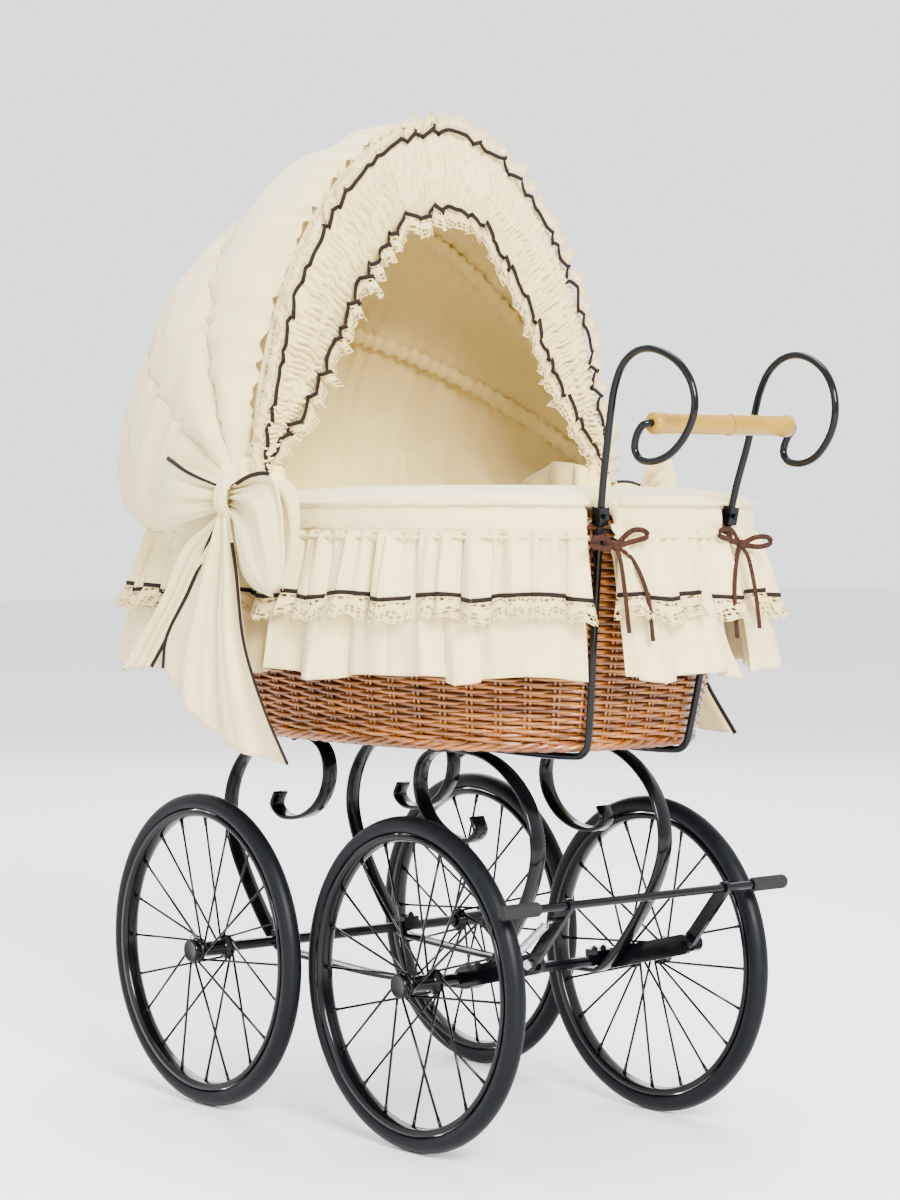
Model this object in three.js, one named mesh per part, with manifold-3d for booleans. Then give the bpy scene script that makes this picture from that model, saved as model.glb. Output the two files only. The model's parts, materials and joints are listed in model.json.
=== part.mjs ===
// Traditional wicker doll pram: a spoked-wheel chassis with scroll springs, a deep oval basket,
// a wire handle with a bamboo grip, a folding cloth hood, a coverlet, a two-tier skirt and bows.
// Millimetres, +Z up, +X towards the pusher, +Y to the pusher's right. Left pieces have y < 0.
import * as THREE from 'three';
import { mergeVertices } from 'three/addons/utils/BufferGeometryUtils.js';
import Module from 'manifold-3d';

const wasm = await Module();
wasm.setup();

// Driving dimensions
const GAP = 0.3; // clearance between pieces that touch
const WHEEL_RADIUS = 160;
const TYRE_RADIUS = 10;
const TYRE_CENTRE = WHEEL_RADIUS - TYRE_RADIUS;
const RIM_RADIUS = 143;
const WHEELBASE = 309;
const HEAD_TRACK = 364;
const FOOT_TRACK = 312;
const AXLE_X = WHEELBASE / 2;
const AXLE_RADIUS = 5.5;
const WHEEL_SEGMENTS = 36;
const SPOKES_PER_FLANGE = 10;
const SPOKE_RADIUS = 1.2;
const SPOKE_LEAN = 1.05; // radians between a spoke's hub end and its rim end
const HUB_OUTER_END = 12;
const HUB_INNER_END = -33;
const OUTER_FLANGE_Y = 9;
const INNER_FLANGE_Y = -26;

const SPRING_Y = 82;
const SPRING_WIDTH = 18;
const SPRING_THICKNESS = 4;
const CROWN_Z = 377.3;
const CROSSBAR_X = 136;
const ROD_RADIUS = 3.5;
const ROD_Z = 380;

const BASKET_X = 5; // middle of the basket along X
const BASKET_BASE_Z = 384.5;
const BASKET_RIM_Z = 600;
const OVAL_POWER = 2.6;
const OVAL_COLUMNS = 36;

const CLAMP_POINT = new THREE.Vector3(337.5, 82.7, 605);
const POST_FOOT = new THREE.Vector3(301, 64.5, 396);
const POST_AXIS = CLAMP_POINT.clone().sub(POST_FOOT).normalize();
const CLAMP_WIDTH = 11;
const CLAMP_HEIGHT = 17;
const SCREW_RADIUS = 2.4;
const SCREW_LENGTH = 3;
const GRIP_X = 410;
const GRIP_Z = 688;
const GRIP_HALF = 87;

const BRAKE_PIVOT = { x: 263, z: 187 };
const BRAKE_BAR = { x: 314, z: 247 };
const BRACKET_Y = 95;
const BRACKET_THICKNESS = 5;
const ARM_Y = 100.6;
const BRAKE_BOLT_RADIUS = 3;
const SPRING_HOOK_LOW = { x: 238, z: 183 };
const SPRING_HOOK_HIGH = { x: 303, z: 234 };
const SPRING_HOOK_Y = -112;
const HOOK_RADIUS = 1.6;

const PIVOT_X = -9;
const PIVOT_Z = 640;
const HOOP_RADIUS = 2;
const EYE_RADIUS = 8;
const EYE_HALF = 1.5;
const EYE_STEP = 2 * HOOP_RADIUS + 0.4; // spacing of the stacked eyes along Y
const INNER_EYE_Y = 212.4;
const HOOD_BOLT_RADIUS = 2.5;
const FABRIC_THICKNESS = 4;
const BAND_WIDE = 229;
const BAND_HEIGHT = 362;

const BOW_Y = 273;
const RIBBON_THICKNESS = 3;

const FRAME_CENTRE_X = 37.5; // the pram's middle along X, measured from midway between the axles

const MATERIALS = {
  tyre: { color: 0x23262e, roughness: 0.55, metalness: 0 },
  blackMetal: { color: 0x15171c, roughness: 0.3, metalness: 0.6 },
  brightMetal: { color: 0xb9bcc0, roughness: 0.3, metalness: 1 },
  rubber: { color: 0x1b1b1d, roughness: 0.8, metalness: 0 },
  wicker: { color: 0xb06a2c, roughness: 0.6, metalness: 0 },
  bamboo: { color: 0xd7a540, roughness: 0.4, metalness: 0 },
  cream: { color: 0xf3ecd6, roughness: 0.9, metalness: 0 },
  suede: { color: 0x6a4333, roughness: 0.95, metalness: 0 },
};

const model = new THREE.Group();
model.position.x = -FRAME_CENTRE_X;

function add(name, geometry, material) {
  const mesh = new THREE.Mesh(geometry, new THREE.MeshStandardMaterial(MATERIALS[material]));
  mesh.name = name;
  model.add(mesh);
  return mesh;
}

const SIDES = [
  ['left', -1],
  ['right', 1],
];

// Geometry helpers

// A closed mesh from points and triangles, turned to face outwards.
function closedMesh(points, triangles) {
  const volume = triangles.reduce((sum, [a, b, c]) => {
    const [p, q, r] = [points[a], points[b], points[c]];
    return sum + p.clone().cross(q).dot(r);
  }, 0);
  const faces = volume < 0 ? triangles.map(([a, b, c]) => [a, c, b]) : triangles;
  const geometry = new THREE.BufferGeometry();
  const positions = points.flatMap((p) => p.toArray());
  geometry.setAttribute('position', new THREE.Float32BufferAttribute(positions, 3));
  geometry.setIndex(faces.flat());
  geometry.computeVertexNormals();
  return geometry;
}

function quad(a, b, c, d) {
  return [
    [a, b, c],
    [a, c, d],
  ];
}

// A solid from closed rings, with a flat fan over the first and the last.
function fromRings(rings) {
  const count = rings[0].length;
  const points = rings.flat();
  const triangles = [];
  for (let row = 0; row < rings.length - 1; row += 1) {
    for (let i = 0; i < count; i += 1) {
      const next = (i + 1) % count;
      const [low, high] = [row * count, (row + 1) * count];
      triangles.push(...quad(low + i, low + next, high + next, high + i));
    }
  }
  const middle = (ring) => ring.reduce((sum, p) => sum.add(p), new THREE.Vector3()).divideScalar(count);
  const base = points.push(middle(rings[0])) - 1;
  const top = points.push(middle(rings.at(-1))) - 1;
  const lastRow = (rings.length - 1) * count;
  for (let i = 0; i < count; i += 1) {
    const next = (i + 1) % count;
    triangles.push([base, next, i], [top, lastRow + i, lastRow + next]);
  }
  return closedMesh(points, triangles);
}

// A panel with thickness between two grids of the same size, joined round the border.
function panel(front, back) {
  const rows = front.length;
  const columns = front[0].length;
  const points = [...front.flat(), ...back.flat()];
  const f = (r, c) => r * columns + c;
  const b = (r, c) => rows * columns + f(r, c);
  const triangles = [];
  for (let r = 0; r < rows - 1; r += 1) {
    for (let c = 0; c < columns - 1; c += 1) {
      triangles.push(...quad(f(r, c), f(r, c + 1), f(r + 1, c + 1), f(r + 1, c)));
      triangles.push(...quad(b(r, c), b(r + 1, c), b(r + 1, c + 1), b(r, c + 1)));
    }
  }
  for (let c = 0; c < columns - 1; c += 1) {
    triangles.push(...quad(f(0, c + 1), f(0, c), b(0, c), b(0, c + 1)));
    triangles.push(...quad(f(rows - 1, c), f(rows - 1, c + 1), b(rows - 1, c + 1), b(rows - 1, c)));
  }
  for (let r = 0; r < rows - 1; r += 1) {
    triangles.push(...quad(f(r, 0), f(r + 1, 0), b(r + 1, 0), b(r, 0)));
    const last = columns - 1;
    triangles.push(...quad(f(r + 1, last), f(r, last), b(r, last), b(r + 1, last)));
  }
  return closedMesh(points, triangles);
}

function toSolid(geometry) {
  const bare = geometry.clone();
  bare.deleteAttribute('normal');
  bare.deleteAttribute('uv');
  const merged = mergeVertices(bare, 1e-4);
  const mesh = new wasm.Mesh({
    numProp: 3,
    vertProperties: new Float32Array(merged.attributes.position.array),
    triVerts: new Uint32Array(merged.index.array),
  });
  return new wasm.Manifold(mesh);
}

function fromSolid(solid) {
  const mesh = solid.getMesh();
  const geometry = new THREE.BufferGeometry();
  geometry.setAttribute('position', new THREE.BufferAttribute(new Float32Array(mesh.vertProperties), 3));
  geometry.setIndex([...mesh.triVerts]);
  geometry.computeVertexNormals();
  return geometry;
}

function union(geometries) {
  return fromSolid(geometries.map(toSolid).reduce((whole, piece) => whole.add(piece)));
}

function cut(geometry, cutters) {
  return fromSolid(cutters.map(toSolid).reduce((whole, piece) => whole.subtract(piece), toSolid(geometry)));
}

// A smooth curve with the same number of steps between each pair of its points.
class Route extends THREE.CatmullRomCurve3 {
  getUtoTmapping(u) {
    return u;
  }
}

function sweep(section, points, stepsPerSpan) {
  const route = new Route(points, false, 'centripetal');
  return new THREE.ExtrudeGeometry(section, {
    steps: (points.length - 1) * stepsPerSpan,
    extrudePath: route,
    bevelEnabled: false,
  });
}

function roundSection(radius, sides) {
  const corners = Array.from({ length: sides }, (_, i) => {
    const angle = (2 * Math.PI * i) / sides;
    return new THREE.Vector2(radius * Math.cos(angle), radius * Math.sin(angle));
  });
  return new THREE.Shape(corners);
}

function rod(points, radius, stepsPerSpan = 2, sides = 8) {
  return sweep(roundSection(radius, sides), points, stepsPerSpan);
}

function flatSection(width, thickness) {
  const [w, t] = [width / 2, thickness / 2];
  return new THREE.Shape([
    new THREE.Vector2(-w, -t),
    new THREE.Vector2(w, -t),
    new THREE.Vector2(w, t),
    new THREE.Vector2(-w, t),
  ]);
}

// A lathed ring whose radius and height profile closes on itself, with its axis along Y.
function ring(profile, segments) {
  const corners = [...profile, profile[0]].map(([radius, y]) => new THREE.Vector2(radius, y));
  return new THREE.LatheGeometry(corners, segments);
}

function cylinderY(radius, from, to, x, z, segments = 12) {
  const geometry = new THREE.CylinderGeometry(radius, radius, Math.abs(to - from), segments);
  return geometry.translate(x, (from + to) / 2, z);
}

function box(width, depth, height, x, y, z) {
  return new THREE.BoxGeometry(width, depth, height).translate(x, y, z);
}

// A flat plate of the XZ plane, given thickness along Y about a middle value.
function plateXZ(shape, thickness, y, curveSegments = 8) {
  const geometry = new THREE.ExtrudeGeometry(shape, { depth: thickness, bevelEnabled: false, curveSegments });
  return geometry.rotateX(Math.PI / 2).translate(0, y + thickness / 2, 0);
}

function bar(from, to, halfWidth) {
  const angle = Math.atan2(to.z - from.z, to.x - from.x);
  const shape = new THREE.Shape();
  shape.absarc(from.x, from.z, halfWidth, angle + Math.PI / 2, angle + 1.5 * Math.PI);
  shape.absarc(to.x, to.z, halfWidth, angle - Math.PI / 2, angle + Math.PI / 2);
  return shape;
}

function withHole(shape, { x, z }, radius) {
  const hole = new THREE.Path();
  hole.absarc(x, z, radius, 0, 2 * Math.PI, true);
  shape.holes.push(hole);
  return shape;
}

const swell = (value, power) => Math.sign(value) * Math.abs(value) ** (2 / power);

// A point of a level oval: flatter along its sides than an ellipse, and longer at the head if asked.
function ovalPoint(length, width, z, angle, headExtra = 0) {
  const along = swell(Math.cos(angle), OVAL_POWER);
  const reach = along < 0 ? length + headExtra : length;
  return new THREE.Vector3(BASKET_X + reach * along, width * swell(Math.sin(angle), OVAL_POWER), z);
}

function oval(length, width, z, headExtra = 0) {
  return Array.from({ length: OVAL_COLUMNS }, (_, i) =>
    ovalPoint(length, width, z, (2 * Math.PI * i) / OVAL_COLUMNS, headExtra),
  );
}

// Wheels

function makeTyre() {
  const flat = Math.acos((RIM_RADIUS + GAP - TYRE_CENTRE) / TYRE_RADIUS);
  const profile = Array.from({ length: 7 }, (_, i) => {
    const angle = flat * (i / 3 - 1);
    return [TYRE_CENTRE + TYRE_RADIUS * Math.cos(angle), TYRE_RADIUS * Math.sin(angle)];
  });
  return ring(profile, WHEEL_SEGMENTS);
}

function makeSpoke(flangeY, angle, lean) {
  const at = (radius, turn, y) => new THREE.Vector3(radius * Math.cos(turn), y, radius * Math.sin(turn));
  const start = at(10.5, angle, flangeY);
  const end = at(RIM_RADIUS - 4, angle + lean, 0);
  return new THREE.ExtrudeGeometry(roundSection(SPOKE_RADIUS, 3), {
    steps: 1,
    extrudePath: new THREE.LineCurve3(start, end),
    bevelEnabled: false,
  });
}

// Rim, hub and both rows of laced spokes as one welded wheel, with its outer side towards +Y.
function makeWheel() {
  const rimBase = RIM_RADIUS - 6;
  const rim = ring([[rimBase, -4.5], [RIM_RADIUS, -8], [RIM_RADIUS, 8], [rimBase, 4.5]], WHEEL_SEGMENTS);
  const bore = AXLE_RADIUS + 0.6;
  const hub = ring(
    [
      [bore, HUB_INNER_END], [8.5, HUB_INNER_END],
      [12.5, INNER_FLANGE_Y - 1.5], [12.5, INNER_FLANGE_Y + 1.5], [8, INNER_FLANGE_Y + 4],
      [8, OUTER_FLANGE_Y - 4], [12.5, OUTER_FLANGE_Y - 1.5], [12.5, OUTER_FLANGE_Y + 1.5],
      [bore, HUB_OUTER_END],
    ],
    12,
  );
  const step = (2 * Math.PI) / SPOKES_PER_FLANGE;
  const spokes = Array.from({ length: SPOKES_PER_FLANGE }, (_, i) => [
    makeSpoke(OUTER_FLANGE_Y, i * step - SPOKE_LEAN, SPOKE_LEAN),
    makeSpoke(INNER_FLANGE_Y, (i + 0.5) * step + SPOKE_LEAN, -SPOKE_LEAN),
  ]).flat();
  return union([rim, hub, ...spokes]);
}

function makeHubCap() {
  const base = HUB_OUTER_END + GAP;
  const profile = [[0, base], [11, base], [12, 14], [12, 17], [10, 19], [0, 19]];
  return new THREE.LatheGeometry(profile.map(([radius, y]) => new THREE.Vector2(radius, y)), 14);
}

function addWheels() {
  const corners = [['head', -AXLE_X, HEAD_TRACK], ['foot', AXLE_X, FOOT_TRACK]];
  for (const [end, x, track] of corners) {
    for (const [side, sign] of SIDES) {
      const pieces = [
        add(`tyre_${end}_${side}`, makeTyre(), 'tyre'),
        add(`wheel_${end}_${side}`, makeWheel(), 'blackMetal'),
        add(`hub_cap_${end}_${side}`, makeHubCap(), 'blackMetal'),
      ];
      for (const piece of pieces) {
        piece.position.set(x, (sign * track) / 2, WHEEL_RADIUS);
        piece.rotation.z = sign < 0 ? Math.PI : 0;
      }
    }
    const halfAxle = track / 2 + HUB_OUTER_END - 1;
    add(`axle_${end}`, cylinderY(AXLE_RADIUS, -halfAxle, halfAxle, x, WHEEL_RADIUS), 'blackMetal');
  }
}

// Chassis

// One side's flat spring bar: scroll, crown, C, sagging bottom arc and the mirrored return.
function makeSpringFrame(y) {
  const half = [
    [160, 315], [166, 302], [154, 292], [132, 290.5], [110, 296], [91, 308], [78, 325], [74, 345], [80, 363],
    [96, 374], [120, CROWN_Z], [152, CROWN_Z], [180, 373], [208, 360], [232, 339], [246, 314], [250, 285],
    [242, 256], [226, 227], [204, 197], [184, 173.5], [170, 160], [156, 151], [138, 149.5], [72, 146],
  ];
  const points = [
    ...half.map(([x, z]) => new THREE.Vector3(x, y, z)),
    new THREE.Vector3(0, y, 144),
    ...half.toReversed().map(([x, z]) => new THREE.Vector3(-x, y, z)),
  ];
  return sweep(flatSection(SPRING_WIDTH, SPRING_THICKNESS), points, 1);
}

// A saddle over the axle, open below where the spring bar passes under.
function makeAxleSaddle(x, y) {
  const block = box(18, 20, 12.6, x, y, WHEEL_RADIUS + 4.7);
  return cut(block, [cylinderY(AXLE_RADIUS + 0.4, y - 15, y + 15, x, WHEEL_RADIUS, 16)]);
}

// Two cross bars with the two lower handle rods welded over them.
function makeCarrier() {
  const crossbars = [-1, 1].map((end) => box(28, 190, 3.6, end * CROSSBAR_X, 0, CROWN_Z + 2 + GAP + 1.8));
  const top = CLAMP_POINT.clone().addScaledVector(POST_AXIS, -GAP);
  const middle = POST_FOOT.clone().lerp(top, 0.5);
  const rods = SIDES.map(([, sign]) => {
    const run = [[-156, 64, ROD_Z], [0, 64, ROD_Z], [278, 64, ROD_Z], [291, 64, 382], [298.5, 64.1, 388.5]];
    const points = [...run.map((p) => new THREE.Vector3(...p)), POST_FOOT, middle, top];
    return rod(points.map((p) => new THREE.Vector3(p.x, sign * p.y, p.z)), ROD_RADIUS);
  });
  return union([...crossbars, ...rods]);
}

function addChassis() {
  for (const [side, sign] of SIDES) {
    add(`spring_frame_${side}`, makeSpringFrame(sign * SPRING_Y), 'blackMetal');
    add(`axle_saddle_head_${side}`, makeAxleSaddle(-AXLE_X, sign * SPRING_Y), 'blackMetal');
    add(`axle_saddle_foot_${side}`, makeAxleSaddle(AXLE_X, sign * SPRING_Y), 'blackMetal');
  }
  add('carrier_frame', makeCarrier(), 'blackMetal');
}

// Handle

// The upper rod: a straight post that curls over in a loop and turns in to the grip's end.
function makeHandleRod(sign) {
  const foot = CLAMP_POINT.clone().addScaledVector(POST_AXIS, GAP);
  const route = [
    [344, 85.5, 635], [353, 89, 668], [361, 91.5, 700], [367, 92.5, 721], [378, 93.5, 740], [394, 94, 751],
    [412, 94, 754], [433, 93, 749], [451, 91, 738], [463, 89.5, 722], [467, 89, 704], [463, 90, 686],
    [451, 91.5, 669], [436, 93, 658], [418, 94, 653.5], [402, 94, 656], [396, 94.5, 664], [399, 95.5, 676],
    [407, 95.5, 685.5], [GRIP_X, 91.5, GRIP_Z], [GRIP_X, 86, GRIP_Z], [GRIP_X, 72, GRIP_Z],
  ];
  const points = [foot.toArray(), ...route].map(([x, y, z]) => new THREE.Vector3(x, sign * y, z));
  return rod(points, ROD_RADIUS, 2, 6);
}

function makeGrip() {
  const bore = ROD_RADIUS + 0.8;
  const profile = [
    [bore, -GRIP_HALF], [9, -GRIP_HALF], [10.3, -GRIP_HALF + 4], [9.4, -GRIP_HALF + 14], [9.4, 0], [10.2, 8],
    [9.4, 15], [9.6, GRIP_HALF - 12], [10.3, GRIP_HALF - 4], [9, GRIP_HALF], [bore, GRIP_HALF],
  ];
  return ring(profile, 14);
}

function placeAlongPost(mesh, sign, lift, outward = 0) {
  const point = CLAMP_POINT.clone().addScaledVector(POST_AXIS, lift);
  const axis = new THREE.Vector3(POST_AXIS.x, sign * POST_AXIS.y, POST_AXIS.z);
  mesh.quaternion.setFromUnitVectors(new THREE.Vector3(0, 0, 1), axis);
  mesh.position.set(point.x, sign * point.y, point.z);
  mesh.translateX(outward);
}

function makeClampBlock() {
  const bore = new THREE.CylinderGeometry(ROD_RADIUS + 0.4, ROD_RADIUS + 0.4, 30, 16).rotateX(Math.PI / 2);
  return cut(new THREE.BoxGeometry(CLAMP_WIDTH, CLAMP_WIDTH, CLAMP_HEIGHT), [bore]);
}

function addHandle() {
  for (const [side, sign] of SIDES) {
    add(`handle_rod_${side}`, makeHandleRod(sign), 'blackMetal');
    placeAlongPost(add(`handle_clamp_${side}`, makeClampBlock(), 'blackMetal'), sign, 0);
    const screw = new THREE.CylinderGeometry(SCREW_RADIUS, SCREW_RADIUS, SCREW_LENGTH, 6);
    screw.rotateZ(Math.PI / 2);
    const screwX = CLAMP_WIDTH / 2 + GAP + SCREW_LENGTH / 2;
    placeAlongPost(add(`handle_screw_${side}`, screw, 'blackMetal'), sign, 0, screwX);
  }
  const grip = add('grip', makeGrip(), 'bamboo');
  grip.position.set(GRIP_X, 0, GRIP_Z);
}

// Brake

function makeBracket(y) {
  const shape = bar({ x: AXLE_X, z: WHEEL_RADIUS }, BRAKE_PIVOT, 10);
  withHole(shape, { x: AXLE_X, z: WHEEL_RADIUS }, AXLE_RADIUS + 0.4);
  withHole(shape, BRAKE_PIVOT, BRAKE_BOLT_RADIUS + 0.3);
  const plate = plateXZ(shape, BRACKET_THICKNESS, y, 6);
  if (y > 0) return plate;
  const hook = cylinderY(HOOK_RADIUS, SPRING_HOOK_Y - 4, y, SPRING_HOOK_LOW.x, SPRING_HOOK_LOW.z, 8);
  return union([plate, hook]);
}

// Both arms and the round bar between them, welded together, with a hook for the spring.
function makeBrakeFrame() {
  const arms = SIDES.map(([, sign]) => {
    const shape = withHole(bar(BRAKE_PIVOT, BRAKE_BAR, 6.5), BRAKE_PIVOT, BRAKE_BOLT_RADIUS + 0.3);
    return plateXZ(shape, BRACKET_THICKNESS, sign * ARM_Y, 6);
  });
  const crossBar = cylinderY(4, -176, 176, BRAKE_BAR.x, BRAKE_BAR.z, 12);
  const hook = cylinderY(HOOK_RADIUS, SPRING_HOOK_Y - 4, -ARM_Y, SPRING_HOOK_HIGH.x, SPRING_HOOK_HIGH.z, 8);
  return union([...arms, crossBar, hook]);
}

// A rubber sleeve with a closed outer end, over one end of the brake bar.
function makeBrakePad(sign) {
  const profile = [[0, 177], [4.6, 177], [4.6, 137], [6, 137], [7, 139], [7, 179], [6, 181], [0, 181]];
  const pad = new THREE.LatheGeometry(profile.map(([radius, y]) => new THREE.Vector2(radius, y)), 14);
  return sign < 0 ? pad.rotateZ(Math.PI) : pad;
}

// Tension spring as a helix from the bracket's hook to the arm's hook.
function makeBrakeSpring() {
  const start = new THREE.Vector3(SPRING_HOOK_LOW.x, SPRING_HOOK_Y, SPRING_HOOK_LOW.z);
  const end = new THREE.Vector3(SPRING_HOOK_HIGH.x, SPRING_HOOK_Y, SPRING_HOOK_HIGH.z);
  const axis = end.clone().sub(start).normalize();
  const across = new THREE.Vector3(0, 1, 0);
  const up = axis.clone().cross(across);
  const coils = 10;
  const stepsPerCoil = 6;
  const points = Array.from({ length: coils * stepsPerCoil + 1 }, (_, i) => {
    const share = i / (coils * stepsPerCoil);
    const angle = 2 * Math.PI * coils * share;
    const place = start.clone().lerp(end, 0.09 + 0.82 * share);
    return place.addScaledVector(across, 3.3 * Math.cos(angle)).addScaledVector(up, 3.3 * Math.sin(angle));
  });
  return rod(points, 0.8, 1, 4);
}

function addBrake() {
  for (const [side, sign] of SIDES) {
    add(`brake_bracket_${side}`, makeBracket(sign * BRACKET_Y), 'blackMetal');
    const pad = add(`brake_pad_${side}`, makeBrakePad(sign), 'rubber');
    pad.position.set(BRAKE_BAR.x, 0, BRAKE_BAR.z);
  }
  add('brake_frame', makeBrakeFrame(), 'blackMetal');
  const outer = ARM_Y + BRACKET_THICKNESS / 2 + GAP;
  const inner = BRACKET_Y - BRACKET_THICKNESS / 2 - 4;
  const { x, z } = BRAKE_PIVOT;
  const shank = (sign) => cylinderY(BRAKE_BOLT_RADIUS, sign * inner, sign * (outer + 1), x, z, 12);
  const head = (sign, radius, length, sides) =>
    cylinderY(radius, sign * outer, sign * (outer + length), x, z, sides);
  add('brake_bolt', union([shank(-1), head(-1, 5, 3.5, 6)]), 'brightMetal');
  add('brake_knob', union([shank(1), head(1, 8, 10, 20)]), 'blackMetal');
  add('brake_spring', makeBrakeSpring(), 'brightMetal');
}

// Basket, mattress and coverlet

function makeBasket() {
  const outer = [
    [285, 171, BASKET_BASE_Z], [293, 179, 389], [297, 183, 400], [314, 200, 480],
    [329, 219, BASKET_RIM_Z - 10], [332, 222, BASKET_RIM_Z - 4], [332, 222, BASKET_RIM_Z + 4],
  ];
  const inner = [
    [323, 213, BASKET_RIM_Z + 4], [323, 213, BASKET_RIM_Z - 6], [308, 194, 480],
    [291, 177, 400], [286, 172, 393],
  ];
  return fromRings([...outer, ...inner].map(([length, width, z]) => oval(length, width, z)));
}

function makeMattress() {
  const rings = [[276, 162, 393.6], [284, 170, 400], [284, 170, 438], [278, 164, 444]];
  return fromRings(rings.map(([length, width, z]) => oval(length, width, z)));
}

// A padded cap over the foot three fifths of the basket, slotted for the handle posts.
function makeCoverlet() {
  const shell = [
    [349, 233, 584], [351, 236, 600], [349, 234, 614], [338, 223, 623], [280, 175, 629], [150, 100, 632],
  ];
  const hollow = [[338, 227, 580], [338, 227, 606], [320, 210, 612]];
  const outside = fromRings(shell.map(([length, width, z]) => oval(length, width, z)));
  const inside = fromRings(hollow.map(([length, width, z]) => oval(length, width, z)));
  const headEnd = box(440, 600, 200, 4 - 220, 0, 600);
  const slots = SIDES.map(([, sign]) => box(60, 26, 100, 352, sign * 83, 610));
  return cut(outside, [inside, headEnd, ...slots]);
}

// Skirt

// Part of one tier between two angles round the oval, hanging from its first row to its hem.
function makeSkirtPanel(rows, from, to, columns) {
  const grid = (inset) =>
    rows.map(([length, width, z, headExtra]) =>
      Array.from({ length: columns + 1 }, (_, i) => {
        const angle = THREE.MathUtils.degToRad(from + ((to - from) * i) / columns);
        return ovalPoint(length - inset, width - inset, z, angle, headExtra);
      }),
    );
  return panel(grid(0), grid(3));
}

function addSkirt() {
  const tiers = {
    upper: [[346, 231, 583, 4], [353, 239, 560, 12], [366, 252, 520, 20], [370, 256, 497, 22]],
    lower: [
      [341, 226, 582, 2], [345, 231, 560, 6], [357, 243, 520, 14], [366, 249, 480, 20], [371, 252, 458, 22],
    ],
  };
  for (const [tier, rows] of Object.entries(tiers)) {
    add(`skirt_${tier}_foot`, makeSkirtPanel(rows, -9.5, 9.5, 4), 'cream');
    add(`skirt_${tier}_body`, makeSkirtPanel(rows, 18.5, 341.5, 34), 'cream');
  }
}

// Hood

// How tall and how wide the hood is at each angle up from level, about its pivot line.
const HOOD_RIBS = [
  { lift: 0, reach: 386, wide: 256, power: 2.2 },
  { lift: 15, reach: 380, wide: 254, power: 2.2 },
  { lift: 30, reach: 372, wide: 252, power: 2.2 },
  { lift: 45, reach: 357, wide: 248, power: 2.15 },
  { lift: 60, reach: 351, wide: 243, power: 2.1 },
  { lift: 75, reach: 354, wide: 236, power: 2 },
  { lift: 90, reach: BAND_HEIGHT, wide: BAND_WIDE, power: 1.9 },
];

function ribAt(lift) {
  const i = Math.min(Math.floor(lift / 15), HOOD_RIBS.length - 2);
  const share = (lift - HOOD_RIBS[i].lift) / 15;
  const mix = (key) => THREE.MathUtils.lerp(HOOD_RIBS[i][key], HOOD_RIBS[i + 1][key], share);
  return { reach: mix('reach'), wide: mix('wide'), power: mix('power') };
}

function hoodPoint(lift, across, inset = 0) {
  const { reach, wide, power } = ribAt(lift);
  const rise = THREE.MathUtils.degToRad(lift);
  const out = (reach - inset) * swell(Math.cos(across), power);
  const y = (wide - inset) * swell(Math.sin(across), power);
  return new THREE.Vector3(PIVOT_X - out * Math.cos(rise), y, PIVOT_Z + out * Math.sin(rise));
}

const HOOD_COLUMNS = 22;
const HOOD_REACH_ACROSS = THREE.MathUtils.degToRad(80);

function archRow(pointAt) {
  return Array.from({ length: HOOD_COLUMNS + 1 }, (_, i) =>
    pointAt(HOOD_REACH_ACROSS * ((2 * i) / HOOD_COLUMNS - 1)),
  );
}

function makeHoodGore(fromLift, toLift) {
  const lifts = Array.from({ length: 4 }, (_, i) => fromLift + ((toLift - fromLift) * i) / 3);
  const grid = (inset) => lifts.map((lift) => archRow((across) => hoodPoint(lift, across, inset)));
  return panel(grid(0), grid(FABRIC_THICKNESS));
}

// The back gore carries on below the pivots and is gathered in over the top of the skirt.
function makeBackGore(toLift) {
  const levels = [[344, 234, 585], [360, 244, 597], [380, 254, 618]];
  const level = ([reach, wide, z], inset) =>
    archRow((across) => {
      const x = PIVOT_X - (reach - inset) * swell(Math.cos(across), 2.2);
      return new THREE.Vector3(x, (wide - inset) * swell(Math.sin(across), 2.2), z);
    });
  const lifts = [0, toLift / 2, toLift];
  const grid = (inset) => [
    ...levels.map((row) => level(row, inset)),
    ...lifts.map((lift) => archRow((across) => hoodPoint(lift, across, inset))),
  ];
  return panel(grid(0), grid(FABRIC_THICKNESS));
}

// A round wire from eye to eye in the plane at one lift, with a flat eye at each end.
function makeHoop(lift, eyeY) {
  const { reach, power } = ribAt(lift);
  const rise = THREE.MathUtils.degToRad(lift);
  const height = reach - FABRIC_THICKNESS - HOOP_RADIUS - 1.2;
  const [back, up] = [Math.cos(rise), Math.sin(rise)];
  const place = (out, y) => new THREE.Vector3(PIVOT_X - out * back, y, PIVOT_Z + out * up);
  const start = Math.asin(0.03);
  const arch = Array.from({ length: 17 }, (_, i) => {
    const across = start + ((Math.PI - 2 * start) * i) / 16;
    return place(height * swell(Math.sin(across), power), -eyeY * swell(Math.cos(across), power));
  });
  const inEye = EYE_RADIUS - 3;
  const points = [place(inEye, -eyeY), ...arch, place(inEye, eyeY)];
  const eyes = [-1, 1].map((sign) => {
    const eye = ring([[3, -EYE_HALF], [EYE_RADIUS, -EYE_HALF], [EYE_RADIUS, EYE_HALF], [3, EYE_HALF]], 12);
    return eye.translate(PIVOT_X, sign * eyeY, PIVOT_Z);
  });
  const bolt = cylinderY(3, -300, 300, PIVOT_X, PIVOT_Z, 12);
  return cut(union([rod(points, HOOP_RADIUS, 1, 5), ...eyes]), [bolt]);
}

// Half of each edge of the front band: half width, and height above the pivots.
const BAND_OUTER = [
  [229, 12], [215, 91], [192, 181], [155, 251], [131, 286], [100, 316], [67, 341], [0, BAND_HEIGHT],
];
const BAND_INNER = [[215, 12], [154, 91], [108, 181], [82, 216], [49, 256], [0, 268]];
const BAND_COLUMNS = 24;

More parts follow.
